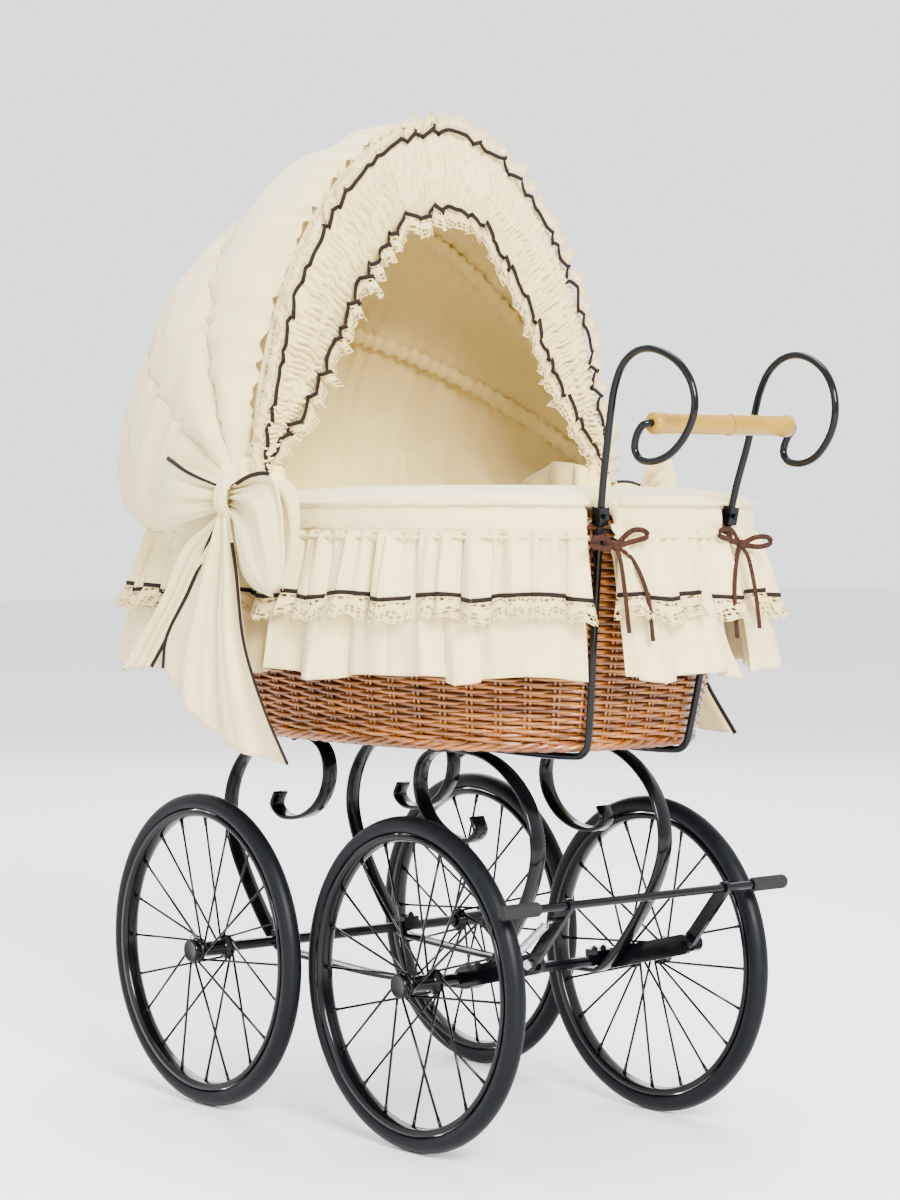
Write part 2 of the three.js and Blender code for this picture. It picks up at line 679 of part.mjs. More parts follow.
function bandEdge(half) {
  const left = half.map(([wide, rise]) => new THREE.Vector3(0, -wide, PIVOT_Z + rise));
  const right = half.toReversed().slice(1).map(([wide, rise]) => new THREE.Vector3(0, wide, PIVOT_Z + rise));
  return new THREE.CatmullRomCurve3([...left, ...right]).getSpacedPoints(BAND_COLUMNS);
}

// The gathered cloth face inside the front hoop: a narrow opening under a round arch.
function makeFrontBand() {
  const [outer, inner] = [bandEdge(BAND_OUTER), bandEdge(BAND_INNER)];
  const middle = outer.map((point, i) => point.clone().lerp(inner[i], 0.5));
  const [back, front, puff] = [PIVOT_X + HOOP_RADIUS + 1, PIVOT_X + 9, PIVOT_X + 15];
  const rows = [outer, middle, inner];
  const layer = (...depths) => rows.map((row, i) => row.map((p) => p.clone().setX(depths[i])));
  return panel(layer(front, puff, front), layer(back, back, back));
}

function addHood() {
  ['rear', 'middle', 'front'].forEach((name, i) => {
    add(`hood_hoop_${name}`, makeHoop(30 * (i + 1), INNER_EYE_Y + EYE_STEP * i), 'blackMetal');
  });
  add('hood_cloth_back', makeBackGore(29.9), 'cream');
  add('hood_cloth_middle', makeHoodGore(30.1, 59.9), 'cream');
  add('hood_cloth_front', makeHoodGore(60.1, 89.5), 'cream');
  add('hood_band', makeFrontBand(), 'cream');
  for (const [side, sign] of SIDES) {
    const plate = box(20, 3, 66, PIVOT_X, sign * (INNER_EYE_Y - HOOP_RADIUS - 1.9), 619);
    const hole = cylinderY(2.8, -300, 300, PIVOT_X, PIVOT_Z, 12);
    add(`hood_bracket_${side}`, cut(plate, [hole]), 'blackMetal');
    const headY = INNER_EYE_Y + 2 * EYE_STEP + HOOP_RADIUS + GAP;
    const shank = cylinderY(HOOD_BOLT_RADIUS, sign * 204, sign * (headY + 1), PIVOT_X, PIVOT_Z, 12);
    const head = cylinderY(5.5, sign * headY, sign * (headY + 3), PIVOT_X, PIVOT_Z, 12);
    add(`hood_pivot_${side}`, union([shank, head]), 'brightMetal');
  }
}

// Bows and ties

function ellipsoid(radii, centre, tilt = 0) {
  const ball = new THREE.SphereGeometry(1, 8, 5).scale(...radii).rotateY(tilt);
  return ball.translate(...centre);
}

// Both bows are tied by hand: one loop stands up and one hangs, on opposite sides of the two knots.
function makeBow(sign) {
  const y = sign * BOW_Y;
  const outline = (points) => new THREE.Shape(points.map(([x, z]) => new THREE.Vector2(x, z)));
  const shortTail = outline([[6, 622], [-12, 624], [-62, 560], [-148, 452], [-98, 456], [-30, 560]]);
  const longTail = outline([
    [20, 618], [-2, 618], [-36, 532], [-72, 458], [-46, 413], [38, 386], [137, 375], [96, 430], [60, 500],
  ]);
  const loops =
    sign < 0
      ? [ellipsoid([52, 8, 34], [-55, y, 632], -0.2), ellipsoid([44, 9, 56], [68, y, 590], 0.25)]
      : [ellipsoid([36, 8, 26], [34, y, 640], 0.3), ellipsoid([46, 9, 52], [-44, y, 598], -0.35)];
  return union([
    ellipsoid([15, 10, 17], [14, y, 623]),
    ...loops,
    plateXZ(shortTail, RIBBON_THICKNESS, y),
    plateXZ(longTail, RIBBON_THICKNESS, y - (sign * RIBBON_THICKNESS) / 2),
  ]);
}

// A lace tied round the post under its clamp, with two small loops and two hanging ends.
function makeTie(sign) {
  const at = (x, y, z) => new THREE.Vector3(x, sign * y, z);
  const strip = flatSection(5, 1.6);
  const postAtTie = CLAMP_POINT.clone().addScaledVector(POST_AXIS, -28);
  const { x, y, z } = postAtTie;
  const collar = new THREE.TorusGeometry(ROD_RADIUS + 2, 1.4, 4, 8).translate(x, sign * y, z);
  const knot = [354, 80, z];
  const lead = rod([at(x + 6, y, z), at(348, 80.5, z), at(...knot)], 2.4, 1, 6);
  const loops = [
    ellipsoid([2.5, 19, 6], [knot[0] + 3, sign * (knot[1] + 19), knot[2] + 1]),
    ellipsoid([2.5, 19, 6], [knot[0] + 3, sign * (knot[1] - 19), knot[2] + 4]),
  ];
  const ends = [
    sweep(strip, [at(...knot), at(364, 82, 555), at(374, 84, 520), at(377, 85, 499)], 1),
    sweep(strip, [at(...knot), at(366, 68, 562), at(375, 61, 530), at(378, 58, 493)], 1),
  ];
  return union([collar, lead, ellipsoid([5, 6, 6], [knot[0], sign * knot[1], knot[2]]), ...loops, ...ends]);
}

function addTrim() {
  for (const [side, sign] of SIDES) {
    add(`bow_${side}`, makeBow(sign), 'cream');
    add(`tie_${side}`, makeTie(sign), 'suede');
  }
}

addWheels();
addChassis();
addHandle();
addBrake();
add('basket', makeBasket(), 'wicker');
add('mattress', makeMattress(), 'cream');
add('coverlet', makeCoverlet(), 'cream');
addSkirt();
addHood();
addTrim();

export default model;
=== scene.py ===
"""A traditional wicker doll pram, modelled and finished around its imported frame.

Metres, +Z up, +X towards the pusher and +Y to the pusher's right, as in the frame.
"""

import json
import math

import bmesh
import bpy
import numpy as np
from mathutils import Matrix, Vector, noise


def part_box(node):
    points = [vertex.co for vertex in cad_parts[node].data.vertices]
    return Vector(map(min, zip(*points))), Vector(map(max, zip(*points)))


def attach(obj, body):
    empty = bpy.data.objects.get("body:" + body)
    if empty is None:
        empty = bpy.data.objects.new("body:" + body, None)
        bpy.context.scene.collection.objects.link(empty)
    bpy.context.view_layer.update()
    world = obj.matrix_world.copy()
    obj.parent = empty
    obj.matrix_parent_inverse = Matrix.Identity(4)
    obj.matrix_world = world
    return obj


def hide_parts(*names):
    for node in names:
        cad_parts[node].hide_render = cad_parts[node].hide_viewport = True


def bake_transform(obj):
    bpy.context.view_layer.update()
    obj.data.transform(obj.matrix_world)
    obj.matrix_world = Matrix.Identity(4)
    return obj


bl_info = {
    "name": "Wicker Doll Pram",
    "version": (1, 0, 0),
    "blender": (4, 5, 0),
    "location": "View3D > Sidebar > Doll Pram",
    "description": "Builds the cloth, wicker, wheels and fittings of a doll pram around its frame",
    "category": "Object",
}

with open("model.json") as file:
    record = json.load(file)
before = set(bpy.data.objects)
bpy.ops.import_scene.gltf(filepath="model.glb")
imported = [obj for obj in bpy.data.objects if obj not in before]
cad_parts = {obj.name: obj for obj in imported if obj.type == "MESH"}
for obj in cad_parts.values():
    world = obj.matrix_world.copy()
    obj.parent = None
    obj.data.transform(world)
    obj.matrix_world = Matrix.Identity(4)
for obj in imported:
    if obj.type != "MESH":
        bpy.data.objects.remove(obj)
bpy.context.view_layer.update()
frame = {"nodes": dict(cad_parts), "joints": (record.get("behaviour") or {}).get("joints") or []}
SIDES = (("left", -1), ("right", 1))
ENDS = ("head", "foot")
JOINTS = {joint["name"]: joint for joint in frame["joints"]}


def middle(node):
    """The middle of a frame node's box."""
    low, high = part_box(node)
    return (low + high) / 2


# Places that come from the frame
BASKET_LOW, BASKET_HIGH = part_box("basket")
OVAL_X = middle("basket").x
OVAL_POWER = 2.6
RIM_Z = BASKET_HIGH.z
FLOOR_Z = BASKET_LOW.z
PIVOT = Vector(JOINTS["hood_rear_fold"]["pos_m"])
GRIP = middle("grip")
MID_X = (middle("axle_foot").x + middle("axle_head").x) / 2
SPRING_Y = middle("spring_frame_right").y


# Settings a user would change


def length(name, default, description):
    return bpy.props.FloatProperty(
        name=name, description=description, default=default, min=0.0, unit="LENGTH", precision=4
    )


def count(name, default, description):
    return bpy.props.IntProperty(name=name, description=description, default=default, min=1)


def colour(name, default, description):
    return bpy.props.FloatVectorProperty(
        name=name, description=description, default=default, size=3, min=0.0, max=1.0, subtype="COLOR"
    )


class DollPramSizes(bpy.types.PropertyGroup):
    tyre_section: length("Tyre thickness", 0.0198, "Across the round of each tyre")
    spoke: length("Spoke diameter", 0.0026, "Wire of the wheel spokes")
    course_pitch: length("Weave pitch", 0.0037, "Height of one woven rod of willow")
    stakes: count("Stake pairs", 58, "Pairs of upright willow stakes round the basket")
    rod: length("Handle wire diameter", 0.0070, "Round wire of the handle and its supports")
    tape: length("Tape width", 0.0042, "Brown tape on the skirt and the hood")
    lace: length("Lace width", 0.022, "Cotton lace under the skirt's tape")
    folds: count("Skirt folds", 46, "Large folds round the whole skirt")
    pleats: count("Hood pleats", 128, "Fine pleats of the gathered hood band")


class DollPramColours(bpy.types.PropertyGroup):
    cream: colour("Cream cotton", (0.74, 0.60, 0.275), "Outer cloth")
    lining: colour("Lining", (0.88, 0.70, 0.27), "Cloth inside the hood")
    lace: colour("Lace", (0.60, 0.46, 0.20), "Ecru cotton lace")
    tape: colour("Brown tape", (0.007, 0.0026, 0.0018), "Edging of the frills and bows")
    willow: colour("Willow", (0.19, 0.050, 0.0035), "Varnished honey willow")
    enamel: colour("Black enamel", (0.0012, 0.0014, 0.0020), "Chassis, wheels and handle")
    tyre: colour("Tyre", (0.0022, 0.0027, 0.0040), "Solid rubber tyres")
    bamboo: colour("Bamboo", (0.27, 0.150, 0.006), "Varnished bamboo grip")
    suede: colour("Suede", (0.027, 0.0085, 0.0042), "Ties at the handle posts")


# Shaders


class Value:
    """A shader socket that turns arithmetic into Math nodes."""

    def __init__(self, surface, socket):
        self.surface = surface
        self.socket = socket

    def math(self, operation, *others):
        inputs = dict(enumerate((self, *others)))
        node = self.surface.node("ShaderNodeMath", {"operation": operation}, inputs)
        return Value(self.surface, node.outputs[0])

    def __add__(self, other):
        return self.math("ADD", other)

    def __sub__(self, other):
        return self.math("SUBTRACT", other)

    def __mul__(self, other):
        return self.math("MULTIPLY", other)

    def __rsub__(self, other):
        return (self * -1.0) + other

    __radd__ = __add__
    __rmul__ = __mul__

    def sine(self):
        return self.math("SINE")

    def absolute(self):
        return self.math("ABSOLUTE")

    def larger(self, other):
        return self.math("MAXIMUM", other)

    def less_than(self, other):
        return self.math("LESS_THAN", other)


class Surface:
    """One material, with its coordinates, its pattern nodes and its shader."""

    def __init__(self, name, roughness, **uniform):
        self.material = bpy.data.materials.new(name)
        self.material.use_nodes = True
        self.nodes = self.material.node_tree.nodes
        self.links = self.material.node_tree.links
        self.shader = self.nodes["Principled BSDF"]
        self.shader.inputs["Roughness"].default_value = roughness
        for socket, value in uniform.items():
            self.shader.inputs[socket.replace("_", " ")].default_value = value
        self.coordinates = self.nodes.new("ShaderNodeTexCoord")

    def node(self, kind, settings=None, inputs=None):
        node = self.nodes.new(kind)
        for name, value in (settings or {}).items():
            setattr(node, name, value)
        for name, value in (inputs or {}).items():
            self.feed(node.inputs[name], value)
        return node

    def feed(self, socket, value):
        if isinstance(value, Value):
            self.links.new(value.socket, socket)
        elif isinstance(value, bpy.types.NodeSocket):
            self.links.new(value, socket)
        else:
            socket.default_value = value

    def set(self, name, value):
        self.feed(self.shader.inputs[name], value)

    def place(self, scale=(1, 1, 1), space="Object"):
        inputs = {"Vector": self.coordinates.outputs[space], "Scale": scale}
        node = self.node("ShaderNodeMapping", None, inputs)
        return node.outputs[0]

    def axis(self, index, space="UV"):
        node = self.node("ShaderNodeSeparateXYZ", None, {0: self.coordinates.outputs[space]})
        return Value(self, node.outputs[index])

    def noise(self, scale, detail=3.0, roughness=0.55, stretch=(1, 1, 1), space="Object"):
        inputs = {"Vector": self.place(stretch, space), "Scale": scale}
        inputs.update(Detail=detail, Roughness=roughness)
        return Value(self, self.node("ShaderNodeTexNoise", None, inputs).outputs[0])

    def mix(self, factor, first, second):
        node = self.node("ShaderNodeMix", {"data_type": "RGBA"}, {"Factor": factor})
        self.feed(node.inputs[6], first)
        self.feed(node.inputs[7], second)
        return node.outputs[2]

    def between(self, value, low, high):
        node = self.node("ShaderNodeMapRange", None, {0: value, 1: low, 2: high, 3: 0.0, 4: 1.0})
        return Value(self, node.outputs[0])

    def bump(self, height, strength, distance):
        inputs = {"Height": height, "Strength": strength, "Distance": distance}
        node = self.node("ShaderNodeBump", None, inputs)
        self.feed(self.shader.inputs["Normal"], node.outputs[0])


def rgba(values, gain=1.0):
    return tuple(min(1.0, channel * gain) for channel in values) + (1.0,)


THREAD = 0.0009


def cotton(name, tint, shade=0.9):
    """Plain woven cotton: a fine square weave, slubs and soft clouds of painted shade standing in for its
    folds.
    """
    cloth = Surface(name, 0.86, Sheen_Weight=0.25, Sheen_Roughness=0.5)
    slubs = cloth.noise(160.0, 4.0, stretch=(1, 1, 0.25))
    # Painted shade: large soft clouds darken the cloth towards its shade tone, standing in for shading in
    # its folds; the slubs mixed in are the cloth's own
    fold_shade_clouds = cloth.noise(9.0, 3.0)
    slubs_and_fold_shade = cloth.between(fold_shade_clouds * 0.6 + slubs * 0.4, 0.35, 0.65)
    cloth.set("Base Color", cloth.mix(slubs_and_fold_shade, rgba(tint, shade), rgba(tint, 1.03)))
    turn = 2.0 * math.pi / THREAD
    weave = (cloth.axis(0) * turn).sine() * (cloth.axis(1) * turn).sine()
    cloth.set("Roughness", slubs * 0.12 + 0.8)
    cloth.bump(weave * 0.25 + slubs * 0.8 + cloth.noise(42.0, 2.0) * 1.6, 0.28, 0.0012)
    return cloth.material


def quilted_cotton(name, tint):
    """The same cotton on padding, where the weave has no strip to follow."""
    cloth = Surface(name, 0.85, Sheen_Weight=0.25, Sheen_Roughness=0.5)
    slubs = cloth.noise(300.0, 3.0)
    # Painted shade: large soft clouds darken the padded cloth, standing in for shading in its folds; the
    # slubs mixed in are the cloth's own
    fold_shade_clouds = cloth.noise(7.0, 3.0)
    slubs_and_fold_shade = cloth.between(fold_shade_clouds * 0.7 + slubs * 0.3, 0.35, 0.65)
    cloth.set("Base Color", cloth.mix(slubs_and_fold_shade, rgba(tint, 0.92), rgba(tint, 1.03)))
    cloth.set("Roughness", slubs * 0.1 + 0.8)
    cloth.bump(slubs * 0.5 + cloth.noise(26.0, 2.0) * 1.5, 0.25, 0.0015)
    return cloth.material


LACE_MOTIF = 0.0155


def cotton_lace(name, tint):
    """Ecru eyelet lace: a net of small round holes between heavier rows and scallops."""
    lace = Surface(name, 0.9, Sheen_Weight=0.2)
    net = lace.node(
        "ShaderNodeTexVoronoi", {"voronoi_dimensions": "2D"},
        {"Vector": lace.coordinates.outputs["UV"], "Scale": 250.0, "Randomness": 0.45},
    )
    holes = Value(lace, net.outputs["Distance"]).less_than(0.33)
    along = (lace.axis(0) * (math.pi / LACE_MOTIF)).sine().absolute()
    down = lace.axis(1) * (2.0 * math.pi / 0.0155)
    heavy = (down + along * 1.6).sine().less_than(-0.35)
    heading = lace.axis(1).less_than(0.0022)
    solid = (1.0 - holes).larger(heavy).larger(heading)
    threads = lace.noise(700.0, 2.0, space="UV")
    lace.set("Alpha", solid)
    lace.set("Base Color", lace.mix(threads * 0.6 + heavy * 0.3, rgba(tint, 0.75), rgba(tint, 1.25)))
    lace.bump(threads + heavy, 0.6, 0.0008)
    return lace.material


def woven_tape(name, tint):
    tape = Surface(name, 0.75, Specular_IOR_Level=0.2)
    ribs = (tape.axis(0) * (2.0 * math.pi / 0.0012)).sine()
    fuzz = tape.noise(500.0, 3.0)
    tape.set("Base Color", tape.mix(fuzz, rgba(tint, 0.6), rgba(tint, 1.7)))
    tape.bump(ribs * 0.4 + fuzz, 0.5, 0.0006)
    return tape.material


def willow(name, tint):
    """Varnished willow rods: each a little different, with streaks, darker scars and a light gloss."""
    rods = Surface(name, 0.38, Coat_Weight=0.35, Coat_Roughness=0.2)
    rod_by_rod = rods.noise(13.0, 2.0, stretch=(1, 1, 21))
    streaks = rods.noise(60.0, 4.0, stretch=(1, 1, 9))
    scars = rods.between(rods.noise(95.0, 2.0), 0.66, 0.74)
    dark = rods.mix(rods.between(streaks, 0.35, 0.65), rgba(tint, 0.38), rgba(tint, 1.0))
    light = rods.mix(streaks, rgba(tint, 1.15), (0.52, 0.19, 0.030, 1.0))
    tone = rods.mix(rods.between(rod_by_rod, 0.40, 0.64), dark, light)
    rods.set("Base Color", rods.mix(scars, tone, (0.07, 0.022, 0.006, 1.0)))
    rods.set("Roughness", streaks * 0.25 + 0.25)
    rods.bump(streaks, 0.2, 0.0005)
    return rods.material


def shadowed_willow(name, tint):
    """Painted shade: willow darkened nearly to black for a sheet inside the weave, standing in for the
    shadow seen through its gaps.
    """
    rods = Surface(name, 0.7)
    rods.set("Base Color", rods.mix(rods.noise(90.0), rgba(tint, 0.05), rgba(tint, 0.16)))
    rods.bump((rods.axis(2, "Object") * (2.0 * math.pi / 0.0074)).sine(), 0.6, 0.002)
    return rods.material


def enamel(name, tint):
    paint = Surface(name, 0.2, Specular_IOR_Level=0.2)
    specks = paint.noise(420.0, 2.0)
    handling = paint.noise(22.0, 4.0)
    paint.set("Base Color", paint.mix(paint.between(handling, 0.4, 0.75), rgba(tint, 0.8), rgba(tint, 1.6)))
    paint.set("Roughness", handling * 0.12 + 0.1)
    paint.bump(specks * 0.4 + handling, 0.04, 0.0006)
    return paint.material


def rubber(name, tint, roughness):
    moulded = Surface(name, roughness, Specular_IOR_Level=0.12)
    dust = moulded.noise(60.0, 5.0)
    moulded.set("Base Color", moulded.mix(moulded.between(dust, 0.5, 0.9), rgba(tint), rgba(tint, 1.6)))
    moulded.set("Roughness", dust * 0.25 + (roughness - 0.1))
    moulded.bump(moulded.noise(800.0, 2.0), 0.12, 0.0004)
    return moulded.material


def plated_steel(name):
    plate = Surface(name, 0.28, Metallic=1.0)
    haze = plate.noise(300.0, 3.0)
    plate.set("Base Color", plate.mix(haze, (0.50, 0.50, 0.51, 1.0), (0.74, 0.74, 0.75, 1.0)))
    plate.set("Roughness", haze * 0.2 + 0.2)
    plate.bump(haze, 0.1, 0.0003)
    return plate.material


def bamboo(name, tint):
    """A varnished cane: fibres along it, brown rings at the nodes and a few dark flecks."""
    cane = Surface(name, 0.3, Coat_Weight=0.2, Coat_Roughness=0.12, Specular_IOR_Level=0.3)
    fibres = cane.noise(120.0, 4.0, stretch=(1, 0.05, 1))
    patches = cane.noise(30.0, 3.0, stretch=(1, 0.5, 1))
    flecks = cane.between(cane.noise(190.0, 2.0), 0.68, 0.76)
    node_line = (cane.axis(1, "Object") - 0.008).absolute()
    ring = 1.0 - cane.between(node_line + patches * 0.003, 0.0012, 0.0035)
    streaks = cane.between(fibres * 0.6 + patches * 0.4, 0.35, 0.65)
    straw = cane.mix(streaks, rgba(tint, 0.75), rgba(tint, 1.25))
    toasted = cane.mix(cane.between(patches, 0.58, 0.75), straw, (0.20, 0.095, 0.010, 1.0))
    cane.set("Base Color", cane.mix((ring * 0.8).larger(flecks * 0.7), toasted, (0.11, 0.045, 0.008, 1.0)))
    cane.set("Roughness", fibres * 0.2 + 0.2)
    cane.bump(fibres, 0.15, 0.0006)
    return cane.material


def suede(name, tint):
    hide = Surface(name, 0.95, Specular_IOR_Level=0.2)
    nap = hide.noise(260.0, 4.0)
    hide.set("Base Color", hide.mix(hide.between(nap, 0.35, 0.7), rgba(tint, 0.6), rgba(tint, 1.6)))
    hide.bump(nap, 0.6, 0.0008)
    return hide.material


def studio_floor(name):
    floor = Surface(name, 0.55)
    dull, pale = (0.83, 0.83, 0.84, 1.0), (0.86, 0.86, 0.87, 1.0)
    floor.set("Base Color", floor.mix(floor.noise(2.0, 2.0), dull, pale))
    return floor.material


MATERIALS = {}


def material(name):
    """The pram's materials, each made once from the scene's colours."""
    if not MATERIALS:
        tints = bpy.context.scene.doll_pram_colours
        MATERIALS.update(
            cream=cotton("cream_cotton", tints.cream),
            lining=cotton("hood_lining", tints.lining, 0.95),
            quilt=quilted_cotton("quilted_cotton", tints.cream),
            lace=cotton_lace("ecru_lace", tints.lace),
            tape=woven_tape("brown_tape", tints.tape),
            willow=willow("varnished_willow", tints.willow),
            willow_shadow=shadowed_willow("willow_painted_shade", tints.willow),
            enamel=enamel("black_enamel", tints.enamel),
            tyre=rubber("tyre_rubber", tints.tyre, 0.42),
            pad=rubber("brake_rubber", (0.014, 0.014, 0.015), 0.75),
            steel=plated_steel("plated_steel"),
            bamboo=bamboo("varnished_bamboo", tints.bamboo),
            suede=suede("brown_suede", tints.suede),
        )
    return MATERIALS[name]


# Mesh helpers


def piece_from(bm, name, finish, body=None, smooth=True):
    """Makes an object of a finished bmesh, gives it its material and lets it ride on a body."""
    mesh = bpy.data.meshes.new(name)
    bm.to_mesh(mesh)
    bm.free()
    piece = bpy.data.objects.new(name, mesh)
    bpy.context.scene.collection.objects.link(piece)
    mesh.materials.append(material(finish))
    mesh.polygons.foreach_set("use_smooth", [smooth] * len(mesh.polygons))
    if body:
        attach(piece, body)
    return piece


def add_grid(bm, points, uv_size=(1.0, 1.0), closed=False):
    """Adds a grid whose points come from an array (columns, rows, 3), with UVs in metres."""
    columns, rows = points.shape[0] - 1, points.shape[1] - 1
    uv = bm.loops.layers.uv.verify()
    grid = bmesh.ops.create_grid(bm, x_segments=columns, y_segments=rows, size=0.5)["verts"]
    faces = {face for vert in grid for face in vert.link_faces}
    for face in faces:
        for loop in face.loops:
            loop[uv].uv = ((loop.vert.co.x + 0.5) * uv_size[0], (loop.vert.co.y + 0.5) * uv_size[1])
    for vert in grid:
        vert.co = points[round((vert.co.x + 0.5) * columns), round((vert.co.y + 0.5) * rows)]
    if closed:
        bmesh.ops.remove_doubles(bm, verts=grid, dist=1e-6)
    return faces


def cloth_piece(name, points, finish, body=None, uv_size=(1.0, 1.0), thickness=0.0, closed=False):
    bm = bmesh.new()
    add_grid(bm, points, uv_size, closed)
    piece = piece_from(bm, name, finish, body)
    if thickness:
        thicken(piece, thickness)
    return piece


def thicken(piece, thickness, offset=-1.0):
    solid = piece.modifiers.new("Solidify", "SOLIDIFY")
    solid.thickness = thickness
    solid.offset = offset


def soften(piece, levels=1):
    smooth = piece.modifiers.new("Subdivision", "SUBSURF")
    smooth.levels = levels
    smooth.render_levels = levels


def ease_edges(piece, width, segments=2):
    bevel = piece.modifiers.new("Bevel", "BEVEL")
    bevel.width = width
    bevel.segments = segments
    bevel.limit_method = "ANGLE"


def smooth_path(points, per_span=8, closed=False):
    """A centripetal Catmull-Rom curve through given points."""
    p = np.array(points, float)
    ends = (p[-1:], p[:2]) if closed else (2 * p[:1] - p[1:2], 2 * p[-1:] - p[-2:-1])
    p = np.vstack([ends[0], p, ends[1]])
    curve = []
    for a, b, c, d in zip(p, p[1:], p[2:], p[3:]):
        t1 = np.linalg.norm(b - a) ** 0.5
        t2 = t1 + np.linalg.norm(c - b) ** 0.5
        t3 = t2 + np.linalg.norm(d - c) ** 0.5
        t = np.linspace(t1, t2, per_span, endpoint=False)[:, None]
        ab = ((t1 - t) * a + t * b) / t1
        bc = ((t2 - t) * b + (t - t1) * c) / (t2 - t1)
        cd = ((t3 - t) * c + (t - t2) * d) / (t3 - t2)
        left = ((t2 - t) * ab + t * bc) / t2
        right = ((t3 - t) * bc + (t - t1) * cd) / (t3 - t1)
        curve.append(((t2 - t) * left + (t - t1) * right) / (t2 - t1))
    curve.append(p[-3 if closed else -2][None])
    return np.vstack(curve)


def resampled(path, count):
    """Equal steps along a path."""
    run = np.concatenate([[0], np.cumsum(np.linalg.norm(np.diff(path, axis=0), axis=1))])
    steps = np.linspace(0, run[-1], count)
    return np.stack([np.interp(steps, run, path[:, i]) for i in range(3)], 1)


def unit(vectors):
    return vectors / np.maximum(np.linalg.norm(vectors, axis=-1, keepdims=True), 1e-12)


def carried(path, section, across=None, scale=None):
    """The places of a section (corners, 2) carried along a path (stations, 3)."""
    tangent = unit(np.gradient(path, axis=0))
    if across is None:
        start = np.eye(3)[np.argmin(abs(tangent[0]))]
        sides = [np.cross(tangent[0], start)]
        for direction in tangent[1:]:
            sides.append(sides[-1] - direction * (sides[-1] @ direction))
            sides[-1] = sides[-1] / np.linalg.norm(sides[-1])
        side = unit(np.array(sides))
    else:
        across = np.broadcast_to(np.array(across, float), path.shape)
        side = unit(across - tangent * (across * tangent).sum(1, keepdims=True))
    other = np.cross(tangent, side)
    size = np.ones(len(path)) if scale is None else scale
    offset = section[None, :, 0, None] * side[:, None] + section[None, :, 1, None] * other[:, None]
    return path[:, None] + offset * size[:, None, None]


def round_section(radius, sides=10):
    turn = np.linspace(0, 2 * math.pi, sides + 1)
    return radius * np.stack([np.cos(turn), np.sin(turn)], 1)


def flat_section(width, thickness):
    """A flat strip's section with eased corners, closed on itself."""
    w, t = width / 2, thickness / 2
    ease = min(w, t) * 0.6
    right = [(w, -t + ease), (w, t - ease), (w - ease, t)]
    left = [(-w + ease, t), (-w, t - ease), (-w, -t + ease)]
    corners = [*right, *left, (-w + ease, -t), (w - ease, -t)]
    return np.array(corners + corners[:1])


def add_sweep(bm, path, section, across=None, closed=False, scale=None):
    """Adds a strip, wire or cord of one section along a path, with closed ends."""
    points = carried(path, section, across, scale)
    if closed:
        points[-1] = points[0]
    run = np.linalg.norm(np.diff(path, axis=0), axis=1).sum()
    girth = np.linalg.norm(np.diff(section, axis=0), axis=1).sum()
    faces = add_grid(bm, points, (run, girth), closed=True)
    edges = {edge for face in faces if face.is_valid for edge in face.edges}
    if not closed:
        bmesh.ops.holes_fill(bm, edges=list(edges), sides=0)
    return faces


def sweep_piece(name, path, section, finish, body=None, across=None, closed=False, scale=None):
    bm = bmesh.new()
    add_sweep(bm, path, section, across, closed, scale)
    bmesh.ops.recalc_face_normals(bm, faces=bm.faces)
    return piece_from(bm, name, finish, body)


def add_lathe(bm, profile, centre, steps=48, axis=(0, 1, 0)):
    """Adds a turned shape: a profile of (radius, along) pairs spun about an axis through centre."""
    axis = Vector(axis)
    out = axis.orthogonal().normalized()
    verts = [bm.verts.new(centre + out * radius + axis * along) for radius, along in profile]
    edges = [bm.edges.new(pair) for pair in zip(verts, verts[1:])]
    bmesh.ops.spin(
        bm,
        geom=verts + edges,
        cent=centre,
        axis=axis,
        dvec=(0, 0, 0),
        angle=2 * math.pi,
        steps=steps,
        use_merge=True,
    )
    bmesh.ops.remove_doubles(bm, verts=bm.verts, dist=1e-7)


def add_cylinder(bm, start, end, radius, segments=12, far_radius=None):
    start, end = Vector(start), Vector(end)
    turn = Vector((0, 0, 1)).rotation_difference(end - start).to_matrix().to_4x4()
    turn.translation = (start + end) / 2
    bmesh.ops.create_cone(
        bm, cap_ends=True, segments=segments, radius1=radius, depth=(end - start).length, matrix=turn,
        radius2=radius if far_radius is None else far_radius,
    )


def add_ball(bm, centre, radius, scale=(1, 1, 1), levels=3):
    ball = bmesh.ops.create_icosphere(bm, subdivisions=levels, radius=radius)["verts"]
    bmesh.ops.scale(bm, vec=scale, verts=ball)
    bmesh.ops.translate(bm, vec=centre, verts=ball)


def add_bolt(bm, place, direction, radius, height):
    """Adds a hexagon nut with the end of its bolt standing out of it."""
    place, direction = Vector(place), Vector(direction).normalized()
    add_cylinder(bm, place, place + direction * height, radius, 6)
    add_cylinder(bm, place + direction * height, place + direction * height * 1.5, radius * 0.5, 12)


# Shared outlines


def swell(value, power):
    return np.sign(value) * abs(value) ** (2 / power)


def oval_at(angle, reach, wide):
    return reach * swell(np.cos(angle), OVAL_POWER), wide * swell(np.sin(angle), OVAL_POWER)


RIM_REACH = (BASKET_HIGH.x - BASKET_LOW.x) / 2
RIM_WIDE = BASKET_HIGH.y
OVAL_TURN = np.linspace(0, 2 * math.pi, 2881)
_rim = np.stack(oval_at(OVAL_TURN, RIM_REACH, RIM_WIDE), 1)
OVAL_RUN = np.concatenate([[0], np.cumsum(np.linalg.norm(np.diff(_rim, axis=0), axis=1))])
OVAL_PERIMETER = OVAL_RUN[-1]


